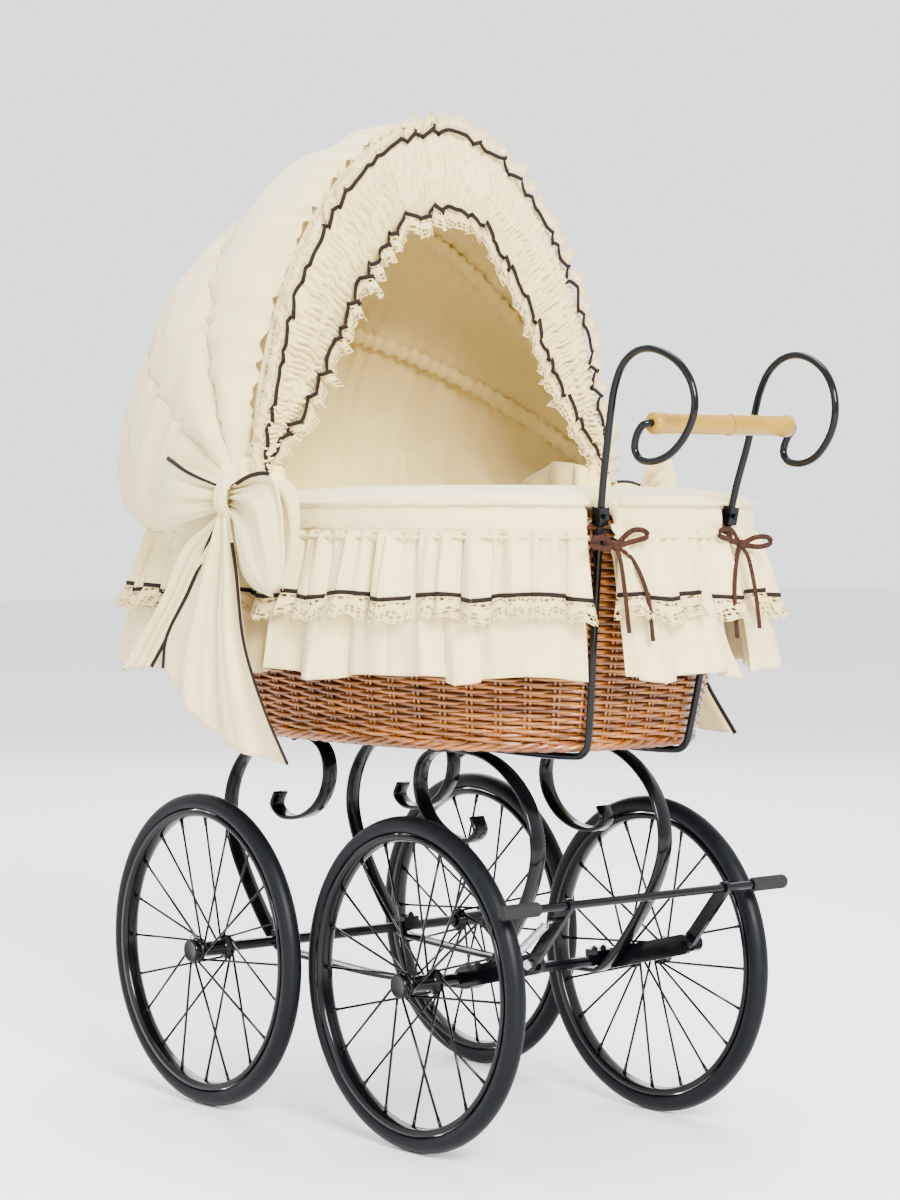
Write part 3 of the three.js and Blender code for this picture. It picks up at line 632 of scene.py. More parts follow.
def oval_points(share, reach, wide, z, head_extra=0.0):
    """Places round a level oval at equal steps of share, and the directions out of it."""
    angle = np.interp(np.asarray(share) % 1.0, OVAL_RUN / OVAL_PERIMETER, OVAL_TURN)
    x, y = oval_at(angle, 1.0, 1.0)
    full = reach + np.where(x < 0, head_extra, 0.0) * abs(x)
    power = OVAL_POWER - 1
    slopes = np.sign(x) * abs(x) ** power / full, np.sign(y) * abs(y) ** power / wide, 0.0 * (x + z)
    normal = np.stack(np.broadcast_arrays(*slopes), -1)
    place = np.stack(np.broadcast_arrays(OVAL_X + full * x, wide * y, z), -1)
    return place, unit(normal)


def share_at(degrees):
    return np.interp(math.radians(degrees) % (2 * math.pi), OVAL_TURN, OVAL_RUN / OVAL_PERIMETER)


def wander(share, turns, seed, strength=0.8):
    """A phase that grows along a gathered edge, with uneven spacing and no jump at its ends."""
    luck = np.random.default_rng(seed)
    phase = 2 * math.pi * turns * share
    for wave in (3, 7, 12, 19):
        swing = strength * luck.uniform(0.5, 1.0)
        phase = phase + swing * np.sin(2 * math.pi * (wave * share + luck.random()))
    return phase


# Wheels


def make_tyre(end, side, centre, sizes):
    section = sizes.tyre_section / 2
    radius = centre.z - section
    low = math.radians(-128)
    turns = np.linspace(low, -low, 15)
    profile = [(radius + section * math.cos(t), section * math.sin(t)) for t in turns]
    bm = bmesh.new()
    add_lathe(bm, profile + profile[:1], centre, 96)
    bmesh.ops.recalc_face_normals(bm, faces=bm.faces)
    tyre = piece_from(bm, f"tyre_round_{end}_{side}", "tyre", f"wheel_{end}_{side}_body")
    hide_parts(f"tyre_{end}_{side}")


SPOKES = 10
SPOKE_LEAN = 1.05
RIM_RADIUS = 0.143


def add_spoke(bm, centre, out, flange, angle, lean, radius):
    """One laced spoke: its hooked end at the flange, the wire, and its nipple in the rim."""
    def at(distance, turn, y):
        return centre + Vector((distance * math.cos(turn), out * y, distance * math.sin(turn)))

    hub_end = at(0.0105, angle, flange)
    rim_end = at(RIM_RADIUS - 0.0045, angle + lean, 0.0)
    add_cylinder(bm, hub_end, rim_end, radius, 6)
    nipple = rim_end + (hub_end - rim_end).normalized() * 0.012
    add_cylinder(bm, rim_end, nipple, radius * 1.7, 6, radius * 1.3)
    add_ball(bm, at(0.0108, angle, flange + math.copysign(0.0022, flange)), radius * 1.5, levels=1)


def make_spoked_wheel(end, side, out, centre, sizes):
    mm = 0.001
    rim = [(136.5, -5.5), (138, -8.6), (142.8, -9.2), (143, -7.5), (140.5, 0)]
    rim += [(143, 7.5), (142.8, 9.2), (138, 8.6), (136.5, 5.5), (135.6, 0)]
    hub = [
        (6.1, -33), (8.4, -33), (9.2, -32), (9.2, -29.5), (12.5, -28),
        (12.8, -26), (12.2, -24.4), (8.6, -22.5), (7.8, -18),
        (7.8, 1), (8.6, 5.5), (12.2, 7.4), (12.8, 9), (12.5, 11), (9.5, 12), (6.1, 12),
    ]
    bm = bmesh.new()
    for profile in (rim, hub):
        points = [(radius * mm, y * mm * out) for radius, y in profile]
        add_lathe(bm, points + points[:1], centre, 96 if profile is rim else 32)
    step = 2 * math.pi / SPOKES
    for i in range(SPOKES):
        add_spoke(bm, centre, out, 9 * mm, i * step - SPOKE_LEAN, SPOKE_LEAN, sizes.spoke / 2)
        add_spoke(bm, centre, out, -26 * mm, (i + 0.5) * step + SPOKE_LEAN, -SPOKE_LEAN, sizes.spoke / 2)
    bmesh.ops.recalc_face_normals(bm, faces=bm.faces)
    wheel = piece_from(bm, f"spoked_wheel_{end}_{side}", "enamel", f"wheel_{end}_{side}_body")
    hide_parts(f"wheel_{end}_{side}")


def make_hub_cap(end, side, out, centre):
    """A plain pressed cap with a small wire clip over the top."""
    mm = 0.001
    profile = [(0, 12.4), (10.6, 12.4), (11.6, 13), (12, 14), (12, 17.2)]
    profile += [(11.4, 18.4), (10, 19), (9, 18.6), (0, 18.6)]
    bm = bmesh.new()
    add_lathe(bm, [(radius * mm, y * mm * out) for radius, y in profile], centre, 40)
    clip = [(-3, 15.5, 11.5), (-3, 15.5, 14.2), (0, 15.5, 15.4), (3, 15.5, 14.2), (3, 15.5, 11.5)]
    path = smooth_path([centre + Vector((x, y * out, z)) * mm for x, y, z in clip], 4)
    add_sweep(bm, path, round_section(0.0007, 6))
    bmesh.ops.recalc_face_normals(bm, faces=bm.faces)
    cap = piece_from(bm, f"hub_cap_turned_{end}_{side}", "enamel", f"wheel_{end}_{side}_body")
    ease_edges(cap, 0.0004)
    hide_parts(f"hub_cap_{end}_{side}")


class DOLLPRAM_OT_wheels(bpy.types.Operator):
    """Make the tyres, laced wheels and hub caps"""

    bl_idname = "doll_pram.wheels"
    bl_label = "Wheels"

    def execute(self, context):
        sizes = context.scene.doll_pram_sizes
        for end in ENDS:
            for side, out in SIDES:
                centre = middle(f"tyre_{end}_{side}")
                make_tyre(end, side, centre, sizes)
                make_spoked_wheel(end, side, out, centre, sizes)
                make_hub_cap(end, side, out, centre)
        return {"FINISHED"}


# Chassis

SPRING_HALF = (
    (160, 315), (166, 302), (154, 292), (132, 290.5), (110, 296), (91, 308), (78, 325), (74, 345), (80, 363),
    (96, 374), (120, 377.3), (152, 377.3), (180, 373), (208, 360), (232, 339), (246, 314), (250, 285),
    (242, 256), (226, 227), (204, 197), (184, 173.5), (170, 160), (156, 151), (138, 149.5), (72, 146),
)


def make_spring_frame(side, out):
    """One flat bar: scroll, crown, C, the sagging arc under the axles, and the mirrored return."""
    y = out * SPRING_Y * 1000
    points = [(x, y, z) for x, z in SPRING_HALF] + [(0, y, 144)] + [(-x, y, z) for x, z in SPRING_HALF[::-1]]
    path = smooth_path(np.array(points) * 0.001 + [MID_X, 0, 0], 6)
    strip = flat_section(0.018, 0.004)
    bar = sweep_piece(f"spring_bar_{side}", path, strip, "enamel", "chassis", across=(0, 1, 0))
    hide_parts(f"spring_frame_{side}")


def make_fixings():
    """Nuts under the axle saddles and on the carrier's cross bars."""
    bm = bmesh.new()
    for end in ENDS:
        for side, _ in SIDES:
            low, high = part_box(f"axle_saddle_{end}_{side}")
            for y in (low.y + 0.004, high.y - 0.004):
                add_bolt(bm, ((low.x + high.x) / 2, y, high.z), (0, 0, 1), 0.0032, 0.0026)
    for x in (-1, 1):
        for _, out in SIDES:
            add_bolt(bm, (MID_X + x * 0.136, out * SPRING_Y, 0.3751), (0, 0, -1), 0.0045, 0.003)
    bmesh.ops.recalc_face_normals(bm, faces=bm.faces)
    piece_from(bm, "chassis_nuts", "enamel", "chassis", smooth=False)


POST_FOOT = np.array((301, 64.5, 396))
CLAMP_POINT = np.array((337.5, 82.7, 605))


def framed(points, out):
    """Millimetres from midway between the axles, on one side, turned to the frame's metres."""
    return np.array(points, float) * (0.001, 0.001 * out, 0.001) + (MID_X, 0, 0)


def make_carrier(sizes):
    """The cross bars, and the two lower handle rods bent up behind the basket."""
    bm = bmesh.new()
    post = (CLAMP_POINT - POST_FOOT) / np.linalg.norm(CLAMP_POINT - POST_FOOT)
    top = CLAMP_POINT - post * 0.3
    for _, out in SIDES:
        bend = [(-156, 64, 380), (100, 64, 380), (278, 64, 380)]
        bend += [(291, 64, 382), (298.5, 64.1, 388.5), POST_FOOT]
        path = smooth_path(framed([*bend, (POST_FOOT + top) / 2, top], out), 6)
        add_sweep(bm, path, round_section(sizes.rod / 2, 14))
    for x in (-0.136, 0.136):
        bar = bmesh.ops.create_cube(bm, size=1.0)["verts"]
        bmesh.ops.scale(bm, vec=(0.028, 0.19, 0.0036), verts=bar)
        bmesh.ops.translate(bm, vec=(MID_X + x, 0, 0.3814), verts=bar)
    bmesh.ops.recalc_face_normals(bm, faces=bm.faces)
    carrier = piece_from(bm, "carrier_rods", "enamel", "chassis")
    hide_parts("carrier_frame")


class DOLLPRAM_OT_chassis(bpy.types.Operator):
    """Make the spring bars, the carrier and their fixings, and enamel the rest of the chassis"""

    bl_idname = "doll_pram.chassis"
    bl_label = "Chassis"

    def execute(self, context):
        for side, out in SIDES:
            make_spring_frame(side, out)
        make_carrier(context.scene.doll_pram_sizes)
        make_fixings()
        finish_nodes("enamel", "axle_", "axle_saddle_", "hood_bracket_")
        finish_nodes("steel", "hood_pivot_")
        return {"FINISHED"}


def finish_nodes(finish, *starts):
    """Gives a material to every frame node whose name starts so."""
    for name, node in frame["nodes"].items():
        if name.startswith(starts):
            for slot in node.material_slots:
                slot.material = material(finish)


# Brake


def make_brake_spring():
    """A close-wound tension spring between its two pins, with a hooked wire at each end."""
    spring_y = middle("brake_spring").y
    start = Vector((MID_X + 0.238, spring_y, 0.183))
    end = Vector((MID_X + 0.303, spring_y, 0.234))
    axis = (end - start).normalized()
    across = Vector((0, 1, 0))
    up = axis.cross(across)
    turns, per_turn = 24, 12
    span = (end - start).length
    coil = []
    for i in range(turns * per_turn + 1):
        share = i / (turns * per_turn)
        angle = 2 * math.pi * turns * share
        place = start + axis * span * (0.12 + 0.76 * share)
        coil.append(place + across * 0.0034 * math.cos(angle) + up * 0.0034 * math.sin(angle))
    coil = [start + up * 0.0024, start + axis * span * 0.07 + across * 0.001, *coil]
    coil += [end - axis * span * 0.07 + across * 0.001, end - up * 0.0024]
    spring = sweep_piece("brake_coil", np.array(coil), round_section(0.0008, 6), "steel")
    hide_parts("brake_spring")
    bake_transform(spring)


class DOLLPRAM_OT_brake(bpy.types.Operator):
    """Finish the brake's frame, brackets, knob and pads, and make its spring"""

    bl_idname = "doll_pram.brake"
    bl_label = "Brake"

    def execute(self, context):
        finish_nodes("enamel", "brake_bracket_", "brake_frame", "brake_knob")
        finish_nodes("steel", "brake_bolt")
        finish_nodes("pad", "brake_pad_")
        make_brake_spring()
        return {"FINISHED"}


# Handle

LOOP = (
    (344, 85.5, 635), (353, 89, 668), (361, 91.5, 700), (367, 92.5, 721), (378, 93.5, 740), (394, 94, 751),
    (412, 94, 754), (433, 93, 749), (451, 91, 738), (463, 89.5, 722), (467, 89, 704), (463, 90, 686),
    (451, 91.5, 669), (436, 93, 658), (418, 94, 653.5), (402, 94, 656), (396, 94.5, 664), (399, 95.5, 676),
    (407, 95.5, 685.5), (410, 91.5, 688), (410, 86, 688), (410, 72, 688),
)


def make_handle_rod(side, out, sizes):
    """The upper wire: up from its clamp, over in a loop, and in to the grip."""
    path = smooth_path(framed([CLAMP_POINT + (0.1, 0, 0.4), *LOOP], out), 6)
    rod = sweep_piece(f"handle_wire_{side}", path, round_section(sizes.rod / 2, 14), "enamel", "chassis")
    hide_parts(f"handle_rod_{side}")


def make_grip():
    """A length of bamboo with one swollen node and capped ends."""
    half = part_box("grip")[1].y
    mm = 0.001
    end = half / mm
    right = [(0, 0), (9.4, 0), (9.5, 5), (10.3, 7.4), (10.0, 8.2), (10.3, 9), (9.6, 12), (9.35, 30)]
    right += [(9.4, 60), (9.7, end - 14), (10.4, end - 9), (10.5, end - 4), (9.9, end - 1)]
    right += [(8.8, end), (4.9, end)]
    left = [(4.9, -end), (8.8, -end), (9.9, -end + 1), (10.5, -end + 4), (10.3, -end + 9), (9.6, -end + 15)]
    left += [(9.35, -45), (9.4, -20)]
    bm = bmesh.new()
    profile = [(radius * mm, y * mm) for radius, y in left + right[1:]]
    add_lathe(bm, profile, GRIP, 40)
    bmesh.ops.holes_fill(bm, edges=bm.edges, sides=0)
    bmesh.ops.recalc_face_normals(bm, faces=bm.faces)
    grip = piece_from(bm, "bamboo_grip", "bamboo", "grip_body")
    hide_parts("grip")


class DOLLPRAM_OT_handle(bpy.types.Operator):
    """Make the looped handle wires and the bamboo grip, and finish the clamps"""

    bl_idname = "doll_pram.handle"
    bl_label = "Handle"

    def execute(self, context):
        for side, out in SIDES:
            make_handle_rod(side, out, context.scene.doll_pram_sizes)
        make_grip()
        finish_nodes("enamel", "handle_clamp_", "handle_screw_")
        return {"FINISHED"}


# Basket

WALL = np.array(
    (
        (384.5, 285, 171), (389, 293, 179), (400, 297, 183), (440, 305.5, 191.5),
        (480, 314, 200), (590, 329, 219), (608, 331, 221),
    )
) * 0.001


def wall_at(z):
    """How far the basket's wall reaches along and across at a height."""
    return np.interp(z, WALL[:, 0], WALL[:, 1]), np.interp(z, WALL[:, 0], WALL[:, 2])


WEAVE_DEPTH = 0.0027
WEAVE_INSET = 0.0048  # from the wall's outside to the middle of its weave


def add_course(bm, z, turn, stakes, radius, luck):
    """One rod woven in front of and behind the stake pairs, all the way round."""
    per_stake = 6
    share = np.arange(stakes * per_stake + 1) / (stakes * per_stake)
    reach, wide = wall_at(z)
    phase = math.pi * (stakes * share + turn)
    place, out = oval_points(share, reach - WEAVE_INSET, wide - WEAVE_INSET, z)
    lean = 0.0007 * np.cos(phase) + luck.normal(0, 0.00018, len(share))
    lean[-1] = lean[0]
    path = place + out * (WEAVE_DEPTH * np.sin(phase))[:, None] + np.array([0, 0, 1]) * lean[:, None]
    size = 0.94 + 0.14 * np.sin(math.pi * (9 * share + luck.random())) ** 2
    size[-1] = size[0]
    add_sweep(bm, path, round_section(radius, 5) * (0.8, 1.0), across=out, closed=True, scale=size)


def add_stake(bm, share, radius):
    heights = np.linspace(FLOOR_Z + 0.004, RIM_Z - 0.004, 10)
    path = np.array([oval_points(share, *(w - WEAVE_INSET for w in wall_at(z)), z)[0] for z in heights])
    add_sweep(bm, path, round_section(radius, 6))


def add_braid(bm, z, inset, strands, radius, twists):
    """A border of rods twisted round each other along the edge of the basket."""
    share = np.linspace(0, 1, twists * 10 + 1)
    reach, wide = wall_at(z)
    for strand in range(strands):
        angle = 2 * math.pi * (twists * share + strand / strands)
        place, out = oval_points(share, reach - inset, wide - inset, z)
        lift = radius * np.sin(angle)[:, None] * np.array([0, 0, 1])
        path = place + out * radius * np.cos(angle)[:, None] + lift
        add_sweep(bm, path, round_section(radius, 6), closed=True)


class DOLLPRAM_OT_basket(bpy.types.Operator):
    """Weave the willow basket round its stakes, with braided borders and a dark sheet of painted shade
    inside the weave
    """

    bl_idname = "doll_pram.basket"
    bl_label = "Basket"

    def execute(self, context):
        sizes = context.scene.doll_pram_sizes
        luck = np.random.default_rng(11)
        courses = int((RIM_Z - 0.012 - FLOOR_Z - 0.008) / sizes.course_pitch)
        for half, chosen in (("lower", range(courses // 2)), ("upper", range(courses // 2, courses))):
            bm = bmesh.new()
            for i in chosen:
                z = FLOOR_Z + 0.0095 + i * sizes.course_pitch
                add_course(bm, z, i % 2, sizes.stakes, sizes.course_pitch * 0.56, luck)
            bmesh.ops.recalc_face_normals(bm, faces=bm.faces)
            weave = piece_from(bm, f"basket_weave_{half}", "willow", "chassis")
        self.make_stakes_and_borders(sizes)
        self.make_painted_shade_sheet()
        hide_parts("basket")
        return {"FINISHED"}

    def make_stakes_and_borders(self, sizes):
        bm = bmesh.new()
        for i in range(sizes.stakes):
            for step in (-0.085, 0.085):
                add_stake(bm, (i + 0.5 + step) / sizes.stakes, 0.0017)
        add_braid(bm, FLOOR_Z + 0.0052, 0.0046, 3, 0.0027, 29)
        add_braid(bm, RIM_Z - 0.006, 0.0045, 3, 0.003, 29)
        bmesh.ops.recalc_face_normals(bm, faces=bm.faces)
        piece_from(bm, "basket_stakes_and_borders", "willow", "chassis")

    def make_painted_shade_sheet(self):
        # Painted shade: a dark sheet over the basket's floor and just inside its weave, standing in for the
        # shadow seen through the gaps
        share = np.linspace(0, 1, 145)
        rows = [(0.0002, FLOOR_Z + 0.001), (0.6, FLOOR_Z + 0.001)]
        rings = [oval_points(share, 0.285 * k, 0.171 * k, z)[0] for k, z in rows]
        for z in np.linspace(FLOOR_Z + 0.001, RIM_Z - 0.005, 8):
            reach, wide = wall_at(z)
            rings.append(oval_points(share, reach - 0.0078, wide - 0.0078, z)[0])
        inner = cloth_piece("basket_painted_shade_sheet", np.stack(rings, 1), "willow_shadow", "chassis", closed=True)
        thicken(inner, 0.002, 1.0)


# Bedding


def copy_node(name, node, inset):
    """A clean copy of a soft node's shape, drawn in a little so that it has room to swell."""
    bm = bmesh.new()
    bm.from_mesh(frame["nodes"][node].data)
    bmesh.ops.remove_doubles(bm, verts=bm.verts, dist=1e-6)
    bm.normal_update()
    for vert in bm.verts:
        vert.co -= vert.normal * inset
    return piece_from(bm, name, "quilt")


def inflate(piece, voxel, limit, pressure=4.0, frames=20):
    """Fills a cloth shell by simulation, then holds every point within a limit of where it was."""
    remesh = piece.modifiers.new("Remesh", "REMESH")
    remesh.mode = "VOXEL"
    remesh.voxel_size = voxel
    remesh.use_smooth_shade = True
    bake(piece)
    before = np.array([v.co for v in piece.data.vertices])
    cloth = piece.modifiers.new("Cloth", "CLOTH")
    cloth.settings.use_pressure = True
    cloth.settings.uniform_pressure_force = pressure
    cloth.settings.effector_weights.gravity = 0.0
    cloth.settings.quality = 5
    for step in range(1, frames + 1):
        bpy.context.scene.frame_set(step)
    bake(piece)
    bpy.context.scene.frame_set(1)
    after = np.array([v.co for v in piece.data.vertices])
    move = after - before
    distance = np.maximum(np.linalg.norm(move, axis=1, keepdims=True), 1e-9)
    kept = before + move * np.minimum(1.0, limit / distance)
    piece.data.vertices.foreach_set("co", kept.ravel())
    soften(piece)
    return piece


def bake(piece):
    """Applies the piece's modifiers to its mesh."""
    evaluated = piece.evaluated_get(bpy.context.evaluated_depsgraph_get())
    mesh = bpy.data.meshes.new_from_object(evaluated)
    old = piece.data
    piece.modifiers.clear()
    piece.data = mesh
    bpy.data.meshes.remove(old)


def make_coverlet_piping():
    """The corded seam round the coverlet's top, from one side of the hood to the other."""
    share = np.linspace(-0.262, 0.262, 260)
    place, _ = oval_points(share, 0.3487, 0.2335, 0.6165)
    keep = (place[:, 0] > MID_X + 0.006) & (abs(abs(place[:, 1]) - 0.083) > 0.0135)
    bm = bmesh.new()
    runs = np.split(np.arange(len(share)), np.where(~keep)[0])
    for run in runs:
        run = run[keep[run]]
        if len(run) > 3:
            add_sweep(bm, place[run], round_section(0.0017, 8))
    bmesh.ops.recalc_face_normals(bm, faces=bm.faces)
    piece_from(bm, "coverlet_piping", "cream", "chassis")


class DOLLPRAM_OT_bedding(bpy.types.Operator):
    """Fill the mattress and the padded coverlet by cloth simulation, and pipe the coverlet"""

    bl_idname = "doll_pram.bedding"
    bl_label = "Mattress and coverlet"

    def execute(self, context):
        for node, name, voxel, inset, limit in (
            ("coverlet", "padded_coverlet", 0.005, 0.0015, 0.004),
            ("mattress", "filled_mattress", 0.008, 0.003, 0.008),
        ):
            pad = inflate(copy_node(name, node, inset), voxel, limit)
            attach(pad, "chassis")
            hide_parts(node)
        make_coverlet_piping()
        return {"FINISHED"}


# Skirt

# Each tier from its seam to its hem: height, reach along, reach across, and extra at the head end
UPPER_ROWS = (
    (597, 341, 227, 0), (586, 347, 231.5, 3), (570, 351, 236, 8),
    (548, 357, 243, 14), (520, 364, 250, 20), (497, 368, 254, 22),
)
LOWER_ROWS = (
    (582, 340, 225, 0), (560, 344, 230, 4), (520, 355, 241, 12),
    (480, 364, 247, 18), (456, 369, 250, 20),
)
TIERS = {"upper": np.array(UPPER_ROWS) / 1000, "lower": np.array(LOWER_ROWS) / 1000}
TAPE_DROP = 0.72  # how far down the upper tier its cloth ends and its lace starts
FOLD_SEEDS = {"upper": 5, "lower": 8}
FULLNESS = {"upper": 1.0, "lower": 0.62}
SEAM_DROP = 0.11
SKIRT_STEPS = 1500  # steps of share round the whole skirt
FOOT_PANEL = (-13.0, 9.5)
BODY_PANEL = (15.5, 341.0)


def skirt_points(tier, share, drop, folds, outward=0.0):
    """Places on a gathered tier: fine gathers at its seam run together into broad folds at its hem."""
    rows = TIERS[tier]
    depth = np.linspace(0, 1, len(rows))
    z, reach, wide, extra = (np.interp(drop, depth, rows[:, i]) for i in range(4))
    place, out = oval_points(share, reach, wide, z, extra)
    full = FULLNESS[tier]
    folds = folds * full
    fan = share + 0.006 * drop * np.sin(2 * math.pi * 9 * share)
    phase = wander(fan, folds, FOLD_SEEDS[tier], 1.2)
    middling = wander(share, folds * 2.3, FOLD_SEEDS[tier] + 2, 1.2)
    fine = wander(share, folds * 4, FOLD_SEEDS[tier] + 1, 1.6)
    fall = np.clip(drop, 0, 1.2)
    free = np.clip((drop - SEAM_DROP) * 14, 0, 1)
    fullness = 0.75 + 0.35 * np.sin(wander(share, folds * 0.37, FOLD_SEEDS[tier] + 3))
    broad = fullness * (0.0010 + 0.0120 * fall**0.8) * (np.sin(phase) + 0.18 * np.sin(2 * phase + 1.0))
    gathers = 0.0034 * np.exp(-2.2 * fall) * np.sin(fine) + 0.0044 * np.exp(-0.9 * fall) * np.sin(middling)
    gathers = gathers * full**1.5
    broad, gathers = free * broad, free * gathers
    along = np.stack([-out[..., 1], out[..., 0], 0 * out[..., 0]], -1)
    overhang = free * 0.0048 * fall**0.6 * np.sin(2 * phase)
    sway = 0.0045 * fall * np.sin(0.5 * phase + 0.7)
    moved = place + out * (broad + gathers + outward)[..., None] + along * overhang[..., None]
    moved[..., 2] += sway
    return moved


def panel_shares(degrees, steps):
    start, end = share_at(degrees[0]), share_at(degrees[1])
    start -= 1 if start > end else 0
    return np.linspace(start, end, max(8, round((end - start) * steps)))


def make_tier(tier, part, degrees, hem, folds):
    share = panel_shares(degrees, SKIRT_STEPS)
    drop = np.linspace(0, hem, 26)
    points = skirt_points(tier, share[:, None], drop[None, :], folds)
    run = (share[-1] - share[0]) * OVAL_PERIMETER * 1.2
    tall = TIERS[tier][0, 0] - TIERS[tier][-1, 0]
    cloth = cloth_piece(f"skirt_{tier}_{part}_cloth", points, "cream", "chassis", (run, tall * hem))
    thicken(cloth, 0.0008)
    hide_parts(f"skirt_{tier}_{part}")


def make_skirt_tape(part, degrees, folds, width):
    share = panel_shares(degrees, SKIRT_STEPS)
    path = skirt_points("upper", share, np.full(len(share), TAPE_DROP), folds, 0.0012)
    section = flat_section(width, 0.0012)
    sweep_piece(f"skirt_tape_{part}", path, section, "tape", "chassis", across=(0, 0, 1))


def make_skirt_lace(part, degrees, folds, width):
    share = panel_shares(degrees, SKIRT_STEPS)
    below = np.linspace(0, 1, 7)
    top = skirt_points("upper", share, np.full(len(share), TAPE_DROP), folds, 0.0006)
    hem = skirt_points("upper", share, np.full(len(share), 1.0), folds, 0.004)
    run = 1.45 * share * OVAL_PERIMETER
    scallop = abs(np.sin(math.pi * run / LACE_MOTIF))
    hem[:, 2] = top[:, 2] - width + 0.0035 - 0.0045 * scallop
    hem += 0.0016 * np.sin(2 * math.pi * run / 0.019)[:, None] * unit((hem - [OVAL_X, 0, 0]) * (1, 1, 0))
    points = top[:, None] + (hem - top)[:, None] * below[None, :, None]
    lace = cloth_piece(f"skirt_lace_{part}", points, "lace", "chassis", (run[-1] - run[0], width))


def make_seam(part, degrees):
    """The corded seam that the skirt hangs from."""
    share = panel_shares(degrees, 500)
    place, _ = oval_points(share, 0.3495, 0.2345, 0.5855, 0.002)
    sweep_piece(f"skirt_seam_{part}", place, round_section(0.0014, 8), "cream", "chassis")


class DOLLPRAM_OT_skirt(bpy.types.Operator):
    """Make both gathered tiers of the skirt with their tape, lace and seam"""

    bl_idname = "doll_pram.skirt"
    bl_label = "Skirt"

    def execute(self, context):
        sizes = context.scene.doll_pram_sizes
        for part, degrees in (("body", BODY_PANEL), ("foot", FOOT_PANEL)):
            make_tier("upper", part, degrees, TAPE_DROP, sizes.folds)
            make_tier("lower", part, degrees, 1.0, sizes.folds)
            make_skirt_tape(part, degrees, sizes.folds, sizes.tape)
            make_skirt_lace(part, degrees, sizes.folds, sizes.lace)
            make_seam(part, degrees)
        return {"FINISHED"}


# Hood

# Lift above level in degrees, reach, half width and roundness of the hood at each rib
RIBS = np.array(
    (
        (0, 386, 256, 2.2), (15, 380, 254, 2.2), (30, 372, 252, 2.2), (45, 357, 248, 2.15),
        (60, 351, 243, 2.1), (75, 354, 236, 2.0), (90, 362, 229, 1.9),
    )
)


def hood_points(lift, across, puff=0.0):
    """Places on the hood's cloth at a lift and an angle across, both in degrees."""
    reach, wide, power = (np.interp(lift, RIBS[:, 0], RIBS[:, i]) for i in (1, 2, 3))
    rise, across = np.radians(lift), np.radians(across)
    out = (reach / 1000 + puff) * swell(np.cos(across), power)
    y = (wide / 1000 + puff) * swell(np.sin(across), power)
    return np.stack(np.broadcast_arrays(PIVOT.x - out * np.cos(rise), y, PIVOT.z + out * np.sin(rise)), -1)


def creases(points, size, seed):
    """Soft irregular swellings between sharper creases, the same each run."""
    flat = points.reshape(-1, 3)
    shift = Vector((seed * 3.7, seed * 1.3, 0))
    soft = np.array([noise.fractal(Vector(p) / size + shift, 0.9, 2.1, 2) for p in flat])
    sharp = np.array([1 - 2.2 * abs(noise.noise(Vector(p) / (size * 0.62) - shift)) for p in flat])
    return (0.6 * soft + 0.4 * sharp).reshape(points.shape[:-1])


def gathered_at(share, distance, seed, turns, strength, width):
    """Wrinkles that fade away from a gathered line."""
    return strength * np.exp(-distance / width) * np.sin(wander(share, turns, seed, 1.8))


def rib_gathers(share, distance, rib):
    """The gathers held by one rib's casing, the same on both sides of the rib."""
    near = gathered_at(share, distance, rib, 48, 0.0022, 0.018)
    return near + gathered_at(share, distance, rib + 1, 19, 0.0030, 0.050)


GORE_LENGTH = 0.19
CREASE_SEED = 4


def make_gore(name, node, lifts):
    """Cloth between two ribs, puffed between them and wrinkled where it is gathered on to them."""
    share = np.linspace(0, 1, 341)[:, None]
    climb = np.linspace(0, 1, 35)[None, :]
    across = 180 * share - 90
    lift = lifts[0] + (lifts[1] - lifts[0]) * climb
    bare = hood_points(lift, across)
    wrinkles = rib_gathers(share, climb * GORE_LENGTH, lifts[0])
    wrinkles = wrinkles + rib_gathers(share, (1 - climb) * GORE_LENGTH, lifts[1])
    held = 0.35 + 0.65 * np.sin(math.pi * climb)
    puff = 0.0100 * np.sin(math.pi * climb) ** 0.7 + wrinkles
    puff = puff + 0.0085 * held * creases(bare, 0.10, CREASE_SEED)
    fade = np.clip(np.cos(np.radians(across)) * 6, 0, 1)
    points = hood_points(lift, across, puff * fade)
    cloth = cloth_piece(name, points, "cream", None, (1.1, GORE_LENGTH))
    finish_gore(cloth, node)


def finish_gore(cloth, node):
    cloth.data.materials.append(material("lining"))
    turn_outwards(cloth)
    thicken(cloth, 0.0012)
    cloth.modifiers["Solidify"].material_offset = 1
    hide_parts(node)
    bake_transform(cloth)


def turn_outwards(piece):
    """Turns an open cloth so that its faces look away from the middle of the hood."""
    bm = bmesh.new()
    bm.from_mesh(piece.data)
    heart = PIVOT + Vector((-0.12, 0, 0.02))
    inward = sum(face.normal.dot(face.calc_center_median() - heart) * face.calc_area() for face in bm.faces)
    if inward < 0:
        bmesh.ops.reverse_faces(bm, faces=bm.faces)
    bm.to_mesh(piece.data)
    bm.free()


# The back of the hood from its frilled heading, in to the elastic, and out to the full hood:
# height, reach and half width
BACK_PROFILE = (
    (570, 357, 244), (577, 350, 238), (584, 345, 234), (592, 352, 240),
    (606, 371, 250), (622, 382, 255), (640, 386, 256),
)
ELASTIC_SHARE = 0.14


